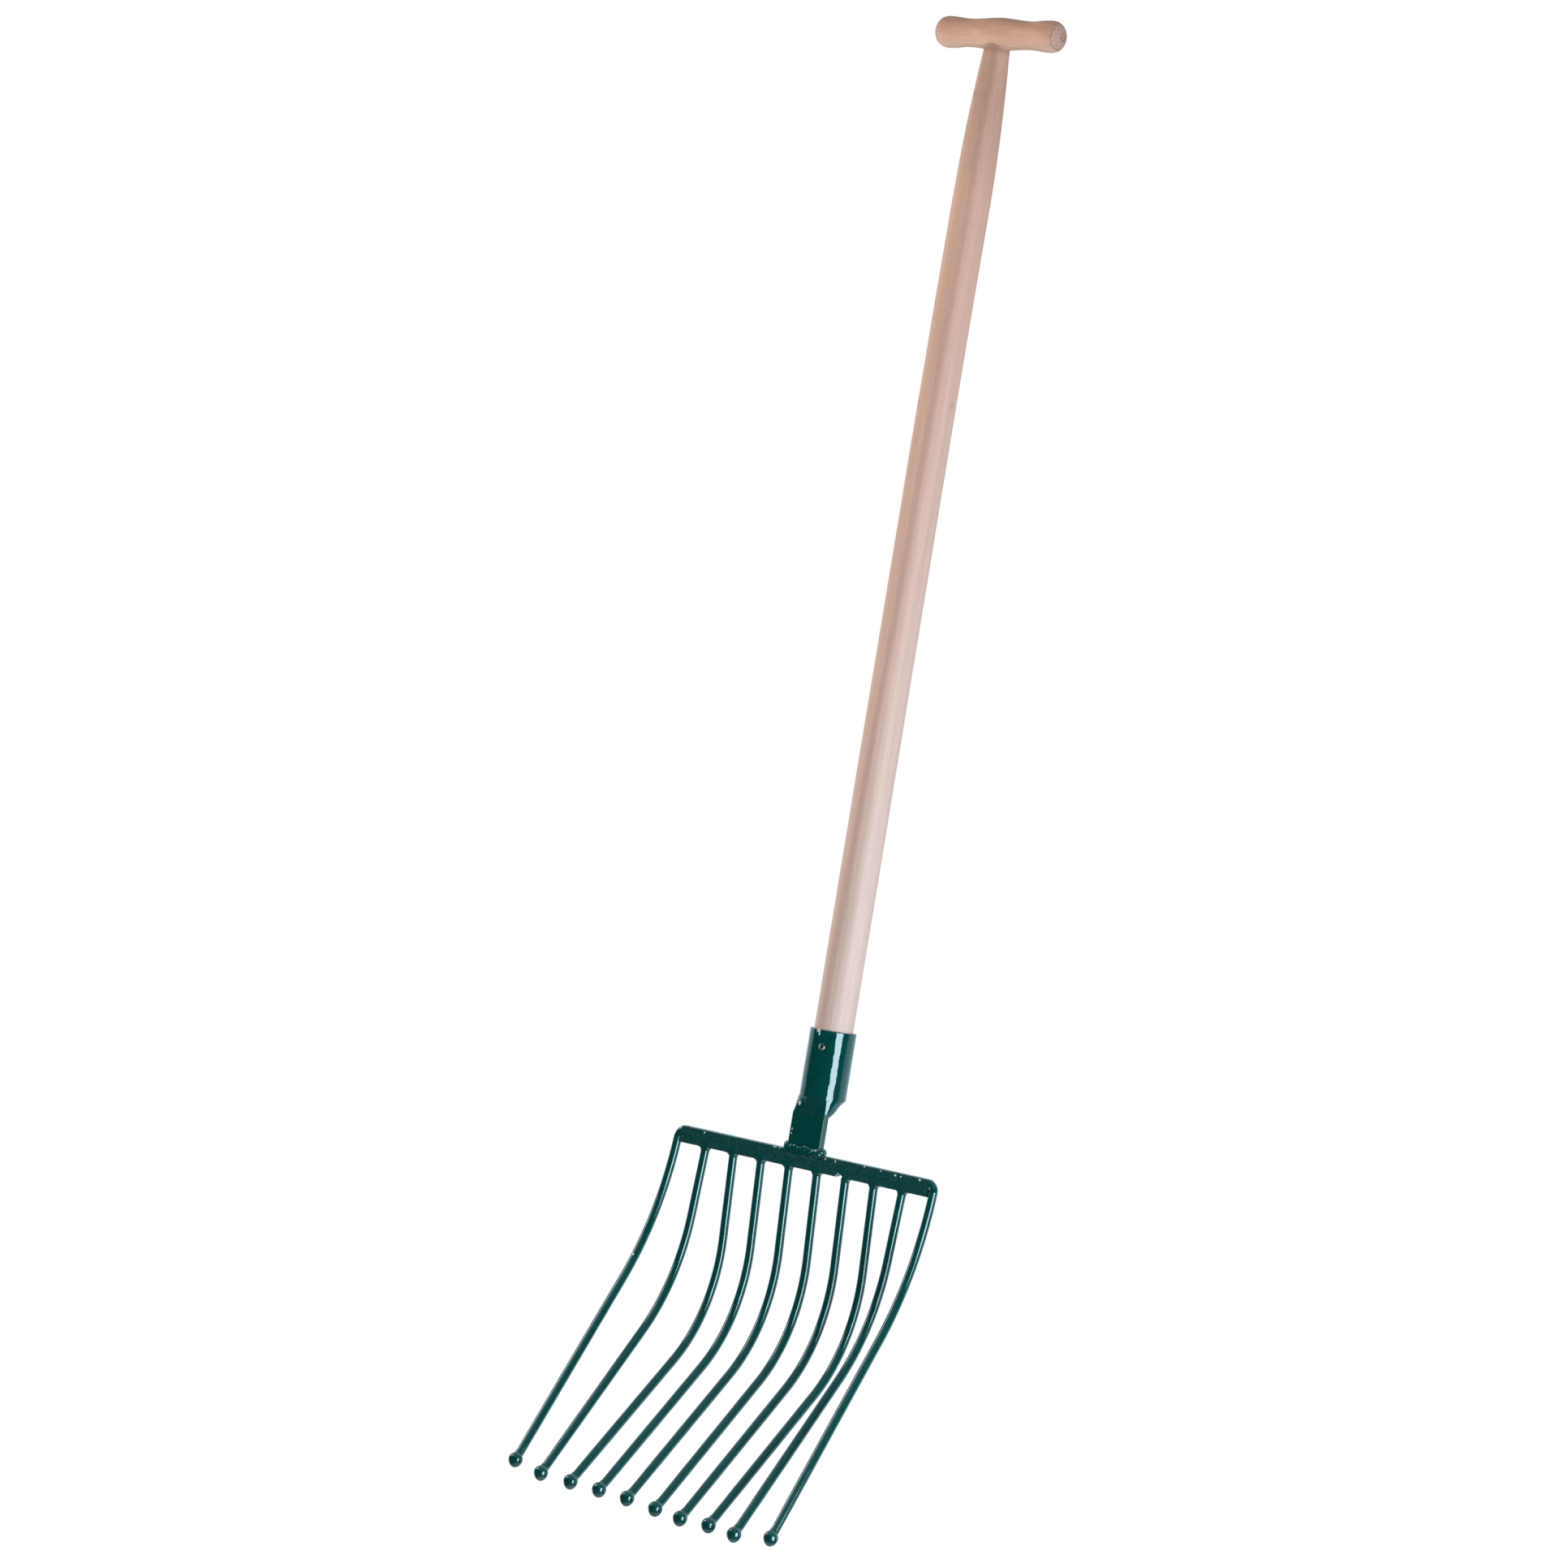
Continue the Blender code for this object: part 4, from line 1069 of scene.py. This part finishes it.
def enamel():
    """Green vitreous enamel, dipped and fired over mild steel.  It is a glossy glass skin
    over a deep green body: it mirrors the lamps sharply, pools a little darker and lighter,
    lies duller over the rough bar, and shows grey-brown steel where it is worn or chipped.
    A few pale spots on the bar are painted glints."""
    material, tree, shader = new_material("Green vitreous enamel on steel")
    if tree is None:
        return material
    place_at = add(tree, 'TexCoord').outputs["Object"]
    # Pooling of the dip in patches of about 6 mm
    pools = add(tree, 'TexNoise', {"Vector": place_at, "Scale": 160.0, "Detail": 3.0,
                                   "Roughness": 0.6})
    pooled = add(tree, 'MapRange', {"Value": pools, "From Min": 0.3, "From Max": 0.7})
    body = add(tree, 'Mix', {0: pooled, 6: tint("enamel_deep"),
                             7: tint("enamel_thin")}, data_type='RGBA')
    # Scale under the enamel of the hammered bar in patches of about 2 mm
    scale = add(tree, 'TexNoise', {"Vector": place_at, "Scale": 420.0, "Detail": 4.0,
                                   "Roughness": 0.7})
    patch = add(tree, 'MapRange', {"Value": scale, "From Min": 0.42, "From Max": 0.62})
    dull = add(tree, 'Attribute', attribute_name="dull")
    dulled = add(tree, 'Math', {0: dull.outputs["Fac"], 1: patch}, operation='MULTIPLY')
    scaled = add(tree, 'Mix', {0: dulled, 6: body, 7: tint("enamel_dull")}, data_type='RGBA')
    # Edges thin out in fits and starts of about 3 mm
    wear = add(tree, 'Attribute', attribute_name="wear")
    fits = add(tree, 'TexNoise', {"Vector": place_at, "Scale": 330.0, "Detail": 4.0,
                                  "Roughness": 0.65})
    thin = add(tree, 'Math', {0: wear.outputs["Fac"], 1: fits}, operation='MULTIPLY')
    bare = add(tree, 'MapRange', {"Value": thin, "From Min": 0.34, "From Max": 0.56,
                                  "To Max": 0.8})
    worn = add(tree, 'Mix', {0: bare, 6: scaled, 7: tint("enamel_edge")}, data_type='RGBA')
    # Pale spots: chips of bare steel, and on the bar a few painted glints
    chip = add(tree, 'Attribute', attribute_name="chip")
    hit = add(tree, 'MapRange', {"Value": chip.outputs["Fac"], "From Min": 0.45, "From Max": 0.6})
    with_chips_and_glints = add(tree, 'Mix', {0: hit, 6: worn, 7: tint("enamel_chip_and_glint")}, data_type='RGBA')
    gloss = add(tree, 'MapRange', {"Value": fits, "From Min": 0.3, "From Max": 0.75,
                                   "To Min": 0.04, "To Max": 0.09})
    matt = add(tree, 'Math', {0: bare, 1: 0.35, 2: gloss}, operation='MULTIPLY_ADD')
    # Orange peel of the fired glass in waves of about 4 mm
    peel = add(tree, 'TexNoise', {"Vector": place_at, "Scale": 240.0, "Detail": 1.0})
    waves = add(tree, 'Bump', {"Height": peel, "Strength": 0.015, "Distance": 0.0002})
    pits = add(tree, 'Bump', {"Height": dulled, "Strength": 0.2, "Distance": 0.0002,
                              "Normal": waves})
    fill(tree, shader, {"Base Color": with_chips_and_glints, "Roughness": matt, "Normal": pits, "IOR": 1.5,
                        "Coat Normal": pits, "Coat Weight": 1.0, "Coat Roughness": 0.04,
                        "Coat IOR": 1.5})
    return material


def finish_wood(tree, shader, colour, fibre_scale, darkest, roughness):
    """Draw the fibres of sanded beech in its tone, its roughness and its relief, and the
    darkening where the piece's attribute puts it: bruises, burnt marks and painted shade."""
    place_at = add(tree, 'TexCoord').outputs["Object"]
    fibres = add(tree, 'Mapping', {"Vector": place_at, "Scale": fibre_scale})
    fibre = add(tree, 'TexNoise', {"Vector": fibres, "Scale": 1.0, "Detail": 2.0})
    fine = add(tree, 'MapRange', {"Value": fibre, "From Min": 0.3, "From Max": 0.7,
                                  "To Min": darkest, "To Max": 1.04})
    toned = add(tree, 'VectorMath', {0: colour, "Scale": fine}, operation='SCALE')
    # The darkening holds bruises and burnt marks, and on the shaft painted shade at the grip's
    # joint
    bruise = add(tree, 'Attribute', attribute_name="bruise")
    darkened = add(tree, 'Mix', {0: bruise.outputs["Fac"], 6: toned,
                                7: tint("wood_mark_and_shade")}, data_type='RGBA')
    rough = add(tree, 'MapRange', {"Value": fibre, "To Min": roughness[0],
                                   "To Max": roughness[1]})
    grain = add(tree, 'Bump', {"Height": fibre, "Strength": 0.25, "Distance": 0.0002})
    fill(tree, shader, {"Base Color": darkened, "Roughness": rough, "Normal": grain, "IOR": 1.45})


def shaft_wood():
    """Steamed European beech, turned and sanded, without varnish.  It is pale and pinkish
    with straight fine grain, soft lengthwise bands from the growth rings, and the short dark
    flecks that mark beech.  The top is warmer, and the left side more tan, partly painted
    warm light.  A darker band down the front is partly painted shade, and the last 100 mm
    under the grip is darker."""
    material, tree, shader = new_material("Sanded beech, grain along the shaft")
    if tree is None:
        return material
    place_at = add(tree, 'TexCoord').outputs["Object"]
    # Growth rings about 5 mm apart show as bands some 100 mm to 400 mm long
    bands = add(tree, 'Mapping', {"Vector": place_at, "Scale": (90.0, 90.0, 2.5)})
    band = add(tree, 'TexNoise', {"Vector": bands, "Scale": 1.0, "Detail": 3.0, "Roughness": 0.55})
    height = add(tree, 'SeparateXYZ', {"Vector": place_at}).outputs["Z"]
    top_share = add(tree, 'MapRange', {"Value": height, "From Min": -0.95,
                                       "From Max": -0.05})
    pale = add(tree, 'Mix', {0: top_share, 6: tint("shaft_pale"),
                             7: tint("shaft_warm")}, data_type='RGBA')
    # A tan side towards -X and the front, away from the camera's right: partly the wood's own
    # tone, partly painted warm light from the left
    aside = add(tree, 'VectorMath', {0: place_at, 1: (0.817, 0.576, 0.0)}, operation='DOT_PRODUCT')
    tan_side = add(tree, 'MapRange', {"Value": aside, "From Min": -0.014, "From Max": 0.006,
                                      "To Min": 0.9, "To Max": 0.0})
    tan_height = add(tree, 'MapRange', {"Value": height, "From Min": -1.0,
                                        "From Max": -0.3, "To Min": 0.3, "To Max": 1.0})
    tan = add(tree, 'Math', {0: tan_side, 1: tan_height}, operation='MULTIPLY')
    tanned = add(tree, 'Mix', {0: tan, 6: pale, 7: tint("shaft_tan")}, data_type='RGBA')
    # One darker band runs from the front at the top to the left at the bottom: partly a growth
    # ring, partly painted shade between the lit sides
    band_place = add(tree, 'MapRange', {"Value": height, "From Min": -1.0,
                                        "From Max": -0.05, "To Min": -0.013, "To Max": -0.0005})
    from_band = add(tree, 'Math', {0: aside, 1: band_place}, operation='SUBTRACT')
    square = add(tree, 'Math', {0: from_band, 1: from_band}, operation='MULTIPLY')
    ring = add(tree, 'MapRange', {"Value": square, "From Max": 0.00002, "To Min": 0.3,
                                  "To Max": 0.0}, interpolation_type='SMOOTHSTEP')
    ringed = add(tree, 'Mix', {0: ring, 6: tanned, 7: tint("shaft_band")}, data_type='RGBA')
    tone = add(tree, 'MapRange', {"Value": band, "From Min": 0.3, "From Max": 0.7, "To Min": 0.91,
                                  "To Max": 1.05})
    # The last 100 mm under the grip is darker
    darker_near_grip = add(tree, 'MapRange', {"Value": height, "From Min": -0.16,
                                     "From Max": -0.05, "To Min": 1.0, "To Max": 0.8})
    aged = add(tree, 'Math', {0: tone, 1: darker_near_grip}, operation='MULTIPLY')
    # Beech flecks, really 0.2 mm by 2 mm, are drawn 0.6 mm by 5 mm so that they show
    flecks = add(tree, 'Mapping', {"Vector": place_at, "Scale": (700.0, 700.0, 80.0)})
    fleck = add(tree, 'TexVoronoi', {"Vector": flecks, "Scale": 1.0})
    mark = add(tree, 'MapRange', {"Value": fleck, "From Min": 0.12, "From Max": 0.3, "To Min": 0.9,
                                  "To Max": 1.0})
    shade = add(tree, 'Math', {0: aged, 1: mark}, operation='MULTIPLY')
    coloured = add(tree, 'VectorMath', {0: ringed, "Scale": shade}, operation='SCALE')
    # Fibres 0.5 mm wide and 30 mm long
    finish_wood(tree, shader, coloured, (900.0, 900.0, 16.0), 0.93, (0.5, 0.68))
    return material


def grip_wood():
    """Steamed European beech, turned across the fork, so its grain runs along X.  It is a
    pinkish tan with darker patches on top, deepened there by painted shade, and painted
    light from below makes its underside paler.  Its rounded ends show grey-pink end grain
    with faint growth rings and the burnt mark of the lathe's centre."""
    material, tree, shader = new_material("Sanded beech, grain along the grip")
    if tree is None:
        return material
    place_at = add(tree, 'TexCoord').outputs["Object"]
    # Patches 15 mm to 60 mm long
    patches = add(tree, 'Mapping', {"Vector": place_at, "Scale": (24.0, 100.0, 100.0)})
    patch = add(tree, 'TexNoise', {"Vector": patches, "Scale": 1.0, "Detail": 3.0})
    place_xyz = add(tree, 'SeparateXYZ', {"Vector": place_at})
    # Painted shade: the patches count for more towards the top, so the top is darker
    height = add(tree, 'MapRange', {"Value": place_xyz.outputs["Z"], "From Min": 0.010,
                                    "From Max": 0.034, "To Min": 0.4, "To Max": 1.0})
    patches_and_top_shade = add(tree, 'Math', {0: patch, 1: height}, operation='MULTIPLY')
    dark = add(tree, 'MapRange', {"Value": patches_and_top_shade, "From Min": 0.22, "From Max": 0.55,
                                  "To Max": 0.85})
    darker = add(tree, 'Mix', {0: dark, 6: tint("grip_light"),
                               7: tint("grip_dark")}, data_type='RGBA')
    # Painted light from below: the underside is mixed towards the plug's pale colour
    under = add(tree, 'MapRange', {"Value": place_xyz.outputs["Z"], "From Max": 0.012,
                                   "To Min": 0.75, "To Max": 0.0})
    wood = add(tree, 'Mix', {0: under, 6: darker, 7: tint("grip_plug_and_underlight")}, data_type='RGBA')
    # The end grain starts where the ends turn round
    from_middle = add(tree, 'Math', {0: place_xyz.outputs["X"],
                                     1: GRIP_CENTRE.x}, operation='SUBTRACT')
    out = add(tree, 'Math', {0: from_middle}, operation='ABSOLUTE')
    # Its edge wanders by 2 mm in patches of 7 mm
    wander = add(tree, 'TexNoise', {"Vector": place_at, "Scale": 140.0, "Detail": 2.0})
    wavy = add(tree, 'Math', {0: wander, 1: 0.008, 2: out}, operation='MULTIPLY_ADD')
    end = add(tree, 'MapRange', {"Value": wavy, "From Min": 0.0735,
                                 "From Max": 0.0765}, interpolation_type='SMOOTHSTEP')
    rim = add(tree, 'Math', {0: end, 1: 0.5}, operation='PINGPONG')
    rings_at = add(tree, 'Mapping', {"Vector": place_at, "Location": (0.0, 0.009, -0.030)})
    # Growth rings 2 mm apart
    rings = add(tree, 'TexWave', {"Vector": rings_at, "Scale": 80.0, "Distortion": 1.5,
                                  "Detail": 2.0}, wave_type='RINGS', rings_direction='X')
    ring_tone = add(tree, 'MapRange', {"Value": rings, "To Min": 0.95, "To Max": 1.03})
    ringed = add(tree, 'VectorMath', {0: tint("grip_end")[:3],
                                      "Scale": ring_tone}, operation='SCALE')
    ended = add(tree, 'Mix', {0: end, 6: wood, 7: ringed}, data_type='RGBA')
    rimmed = add(tree, 'Mix', {0: rim, 6: ended, 7: tint("wood_mark_and_shade")}, data_type='RGBA')
    # A pale plug of about 6 mm on the front of the left arm
    to_plug = add(tree, 'VectorMath', {0: place_at,
                                       1: (-0.0188, -0.0153, 0.0146)}, operation='DISTANCE')
    plug = add(tree, 'MapRange', {"Value": to_plug, "From Min": 0.0025, "From Max": 0.0045,
                                  "To Min": 0.22, "To Max": 0.0})
    plugged = add(tree, 'Mix', {0: plug, 6: rimmed, 7: tint("grip_plug_and_underlight")}, data_type='RGBA')
    # Fibres 0.5 mm wide and 25 mm long
    finish_wood(tree, shader, plugged, (24.0, 800.0, 800.0), 0.92, (0.48, 0.66))
    return material


def steel():
    """Bright drawn mild steel, pressed cold.  It is a pale grey metal, a little dull, with
    fine scratches and dark oxide in its hollows."""
    material, tree, shader = new_material("Bright drawn steel")
    if tree is None:
        return material
    place_at = add(tree, 'TexCoord').outputs["Object"]
    # Scratches 0.4 mm apart
    scratch = add(tree, 'TexNoise', {"Vector": place_at, "Scale": 2500.0, "Detail": 2.0})
    tone = add(tree, 'Mix', {0: scratch, 6: tint("steel_dark"),
                             7: tint("steel_light")}, data_type='RGBA')
    hollow = add(tree, 'Attribute', attribute_name="hollow")
    oxide = add(tree, 'Mix', {0: hollow.outputs["Fac"], 6: tone,
                              7: tint("steel_hollow")}, data_type='RGBA')
    rough = add(tree, 'MapRange', {"Value": scratch, "To Min": 0.25, "To Max": 0.5})
    fill(tree, shader, {"Base Color": oxide, "Roughness": rough, "Metallic": 1.0})
    return material


# The stage

def aside_vector(azimuth):
    """The direction to the right of a viewer at that azimuth."""
    return Vector((math.cos(azimuth), math.sin(azimuth), 0.0))


def towards(azimuth, elevation):
    """The direction from the fork to a viewer at that azimuth and elevation."""
    return Vector((math.sin(azimuth) * math.cos(elevation),
                   -math.cos(azimuth) * math.cos(elevation), math.sin(elevation)))


# Lamps: turn from the camera to the right, height, distance, width and height, radiance,
# colour, height that they face, and the rays that don't meet them
LAMPS = {
    "key_lamp": (33.0, -1.2, 2.6, (1.3, 1.6), 9.5, (0.88, 0.97, 1.07), -1.2, "glossy"),
    "soft_box": (34.0, -1.45, 1.4, (0.8, 1.2), 9.5, (0.7, 0.9, 1.05), -1.45, "diffuse"),
    "strip_lamp": (-97.0, -0.3, 1.4, (0.4, 1.0), 5.0, (0.95, 1.0, 1.05), -0.3, "diffuse"),
    "left_lamp": (-106.0, -0.15, 2.0, (0.8, 1.25), 10.0, (1.0, 0.95, 0.9), -0.6, "glossy"),
    "fill_lamp": (-25.0, 0.35, 1.9, (1.3, 1.1), 4.0, (1.0, 0.97, 0.95), 0.8, "glossy"),
}
FLOOR_HALF = 2.4


def add_lamp(name, azimuth, height, distance, size, radiance, colour, target_height, missed):
    """A rectangular lamp that faces the fork's axis at a height.  Its power is its radiance
    times pi times its area.  One kind of ray doesn't meet it."""
    light = bpy.data.lights.new(name, 'AREA')
    light.shape = 'RECTANGLE'
    light.size, light.size_y = size
    light.energy = radiance * math.pi * size[0] * size[1]
    light.color = colour
    lamp = new_object(name, light)
    lamp.location = towards(azimuth, 0.0) * distance + Vector((0.0, 0.0, height))
    lamp.visible_camera = False
    setattr(lamp, "visible_" + missed, False)
    aim = Vector((0.0, 0.0, target_height)) - lamp.location
    lamp.rotation_euler = aim.to_track_quat('-Z', 'Y').to_euler()


def make_world(azimuth):
    """The studio round the fork: pale behind it, dark in front and softly lit overhead.  It
    is bluish in reflections, and the camera sees plain white in every direction."""
    world = bpy.data.worlds.new("Studio")
    bpy.context.scene.world = world
    tree = empty_tree(world)
    direction = add(tree, 'TexCoord').outputs["Generated"]
    wall_side = towards(azimuth + math.radians(167.0), 0.0)
    behind = add(tree, 'VectorMath', {0: direction, 1: tuple(wall_side)}, operation='DOT_PRODUCT')
    wall = add(tree, 'MapRange', {"Value": behind, "From Min": -0.03, "From Max": 0.3,
                                  "To Min": 0.0, "To Max": 0.75}, interpolation_type='SMOOTHSTEP')
    upright = add(tree, 'SeparateXYZ', {"Vector": direction})
    ceiling = add(tree, 'MapRange', {"Value": upright.outputs["Z"], "From Min": 0.5,
                                     "From Max": 0.8, "To Min": 0.0,
                                     "To Max": 0.3}, interpolation_type='SMOOTHSTEP')
    studio = add(tree, 'Math', {0: wall, 1: ceiling}, operation='MAXIMUM')
    ray = add(tree, 'LightPath')
    level = add(tree, 'Math', {0: studio, 1: ray.outputs["Is Camera Ray"]}, operation='MAXIMUM')
    cool = add(tree, 'Mix', {0: ray.outputs["Is Glossy Ray"], 6: (1.0, 1.0, 1.0, 1.0),
                             7: (0.62, 0.88, 1.0, 1.0)}, data_type='RGBA')
    background = add(tree, 'Background', {"Color": cool, "Strength": level})
    add(tree, 'OutputWorld', {"Surface": background})


def floor_finish(azimuth):
    """White seamless backdrop paper.  It is matt, and a glow that only the camera sees keeps
    it white where the lamps light it less, so that only the fork's shadow darkens it.  To
    the fork it glows as painted light, pale behind and beneath, dark in front and bluish in
    reflections.  From below it can't be seen."""
    material = bpy.data.materials.new("White seamless paper")
    tree = empty_tree(material)
    ray = add(tree, 'LightPath')
    side = add(tree, 'NewGeometry')
    place_at = add(tree, 'TexCoord').outputs["Object"]
    flat_place = add(tree, 'VectorMath', {0: place_at, 1: (1.0, 1.0, 0.0)}, operation='MULTIPLY')
    from_fork = add(tree, 'VectorMath', {0: flat_place}, operation='LENGTH')
    level = add(tree, 'MapRange', {"Value": from_fork, "From Min": 0.2, "From Max": 2.0,
                                   "To Min": 0.45, "To Max": 0.85})
    bright = add(tree, 'BsdfDiffuse', {"Color": (0.78, 0.78, 0.78, 1.0)})
    glow = add(tree, 'Emission', {"Strength": level})
    lit = add(tree, 'AddShader', {0: bright, 1: glow})
    behind = add(tree, 'VectorMath', {0: place_at,
                                      1: tuple(-towards(azimuth, 0.0))}, operation='DOT_PRODUCT')
    pale = add(tree, 'MapRange', {"Value": behind, "From Min": 0.0, "From Max": 0.5,
                                  "To Min": 0.04, "To Max": 0.7})
    under = add(tree, 'MapRange', {"Value": from_fork, "From Min": 0.35, "From Max": 0.7,
                                   "To Min": 0.5, "To Max": 0.0})
    paleness = add(tree, 'Math', {0: pale, 1: under}, operation='MAXIMUM')
    shade = add(tree, 'Mix', {0: ray.outputs["Is Glossy Ray"], 6: (1.0, 1.0, 1.0, 1.0),
                              7: (0.7, 0.92, 1.0, 1.0)}, data_type='RGBA')
    cool = add(tree, 'Mix', {0: paleness, 6: (0.0, 0.0, 0.0, 1.0), 7: shade}, data_type='RGBA')
    paper = add(tree, 'BsdfDiffuse', {"Color": cool})
    paper_glow = add(tree, 'Emission', {"Color": cool, "Strength": 0.5})
    around = add(tree, 'AddShader', {0: paper, 1: paper_glow})
    seen = add(tree, 'MixShader', {0: ray.outputs["Is Camera Ray"], 1: around, 2: lit})
    clear = add(tree, 'BsdfTransparent')
    one_sided = add(tree, 'MixShader', {0: side.outputs["Backfacing"], 1: seen, 2: clear})
    add(tree, 'OutputMaterial', {"Surface": one_sided})
    return material


class PITCHFORK_OT_stage(bpy.types.Operator):
    """Build the floor, the lamps, the studio and the camera"""
    bl_idname = "pitchfork.stage"
    bl_label = "Stage"

    def execute(self, context):
        """The camera looks at its target from its azimuth, and rolls so that the fork leans.
        The lamps and the studio are turned with it."""
        stage = sizes("stage")
        azimuth = stage.camera_azimuth
        floor_z = min(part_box(name)[0].z for name in BALL_NODES) - stage.floor_below
        corners = [(x * FLOOR_HALF, y * FLOOR_HALF, floor_z)
                   for x, y in ((-1, -1), (1, -1), (1, 1), (-1, 1))]
        mesh = bpy.data.meshes.new("paper_floor")
        mesh.from_pydata(corners, [], [(0, 1, 2, 3)])
        floor = new_object("paper_floor", mesh)
        mesh.materials.append(floor_finish(azimuth))
        make_world(azimuth)
        for name, (turn, *settings) in LAMPS.items():
            add_lamp(name, azimuth + math.radians(turn), *settings)
        data = bpy.data.cameras.new("camera")
        data.sensor_width = 36.0
        data.lens = stage.lens
        camera = new_object("camera", data)
        bpy.context.scene.camera = camera
        target = (aside_vector(azimuth) * -stage.target_aside
                  + Vector((0.0, 0.0, stage.target_height)))
        camera.location = target + towards(azimuth, stage.camera_elevation) * stage.camera_distance
        look = (target - camera.location).to_track_quat('-Z', 'Y').to_matrix()
        camera.rotation_euler = (look @ Matrix.Rotation(stage.camera_roll, 3, 'Z')).to_euler()
        bpy.context.scene.view_settings.view_transform = 'Standard'
        return {'FINISHED'}


class PITCHFORK_PT_panel(bpy.types.Panel):
    """The fork's pieces and sizes in the sidebar"""
    bl_idname = "PITCHFORK_PT_panel"
    bl_label = "Pitchfork"
    bl_space_type = 'VIEW_3D'
    bl_region_type = 'UI'
    bl_category = "Pitchfork"

    def draw(self, context):
        """List the operators and the settings."""
        column = self.layout.column()
        for operator in OPERATORS:
            column.operator(operator.bl_idname)
        for group in GROUPS:
            settings = getattr(context.scene, "pitchfork_" + group)
            column.label(text=group.capitalize())
            for setting in GROUPS[group].__annotations__:
                column.prop(settings, setting)


GROUPS = {"handle": HandleSizes, "head": HeadSizes, "stage": StageSizes, "finishes": Finishes}
OPERATORS = (PITCHFORK_OT_stage, PITCHFORK_OT_shaft, PITCHFORK_OT_grip, PITCHFORK_OT_nail,
             PITCHFORK_OT_socket, PITCHFORK_OT_rivet, PITCHFORK_OT_neck_weld,
             PITCHFORK_OT_rods, PITCHFORK_OT_spacer, PITCHFORK_OT_balls)


def register():
    """Register the classes and hang the settings on the scene."""
    for group in GROUPS.values():
        bpy.utils.register_class(group)
    for operator in OPERATORS:
        bpy.utils.register_class(operator)
    bpy.utils.register_class(PITCHFORK_PT_panel)
    for name, group in GROUPS.items():
        setattr(bpy.types.Scene, "pitchfork_" + name, bpy.props.PointerProperty(type=group))


def unregister():
    """Take the settings and the classes away again."""
    for name in GROUPS:
        delattr(bpy.types.Scene, "pitchfork_" + name)
    bpy.utils.unregister_class(PITCHFORK_PT_panel)
    for operator in reversed(OPERATORS):
        bpy.utils.unregister_class(operator)
    for group in reversed(GROUPS.values()):
        bpy.utils.unregister_class(group)


def main():
    """Build every piece."""
    register()
    for operator in OPERATORS:
        group, name = operator.bl_idname.split(".")
        getattr(getattr(bpy.ops, group), name)()


if __name__ == "__main__":
    main()
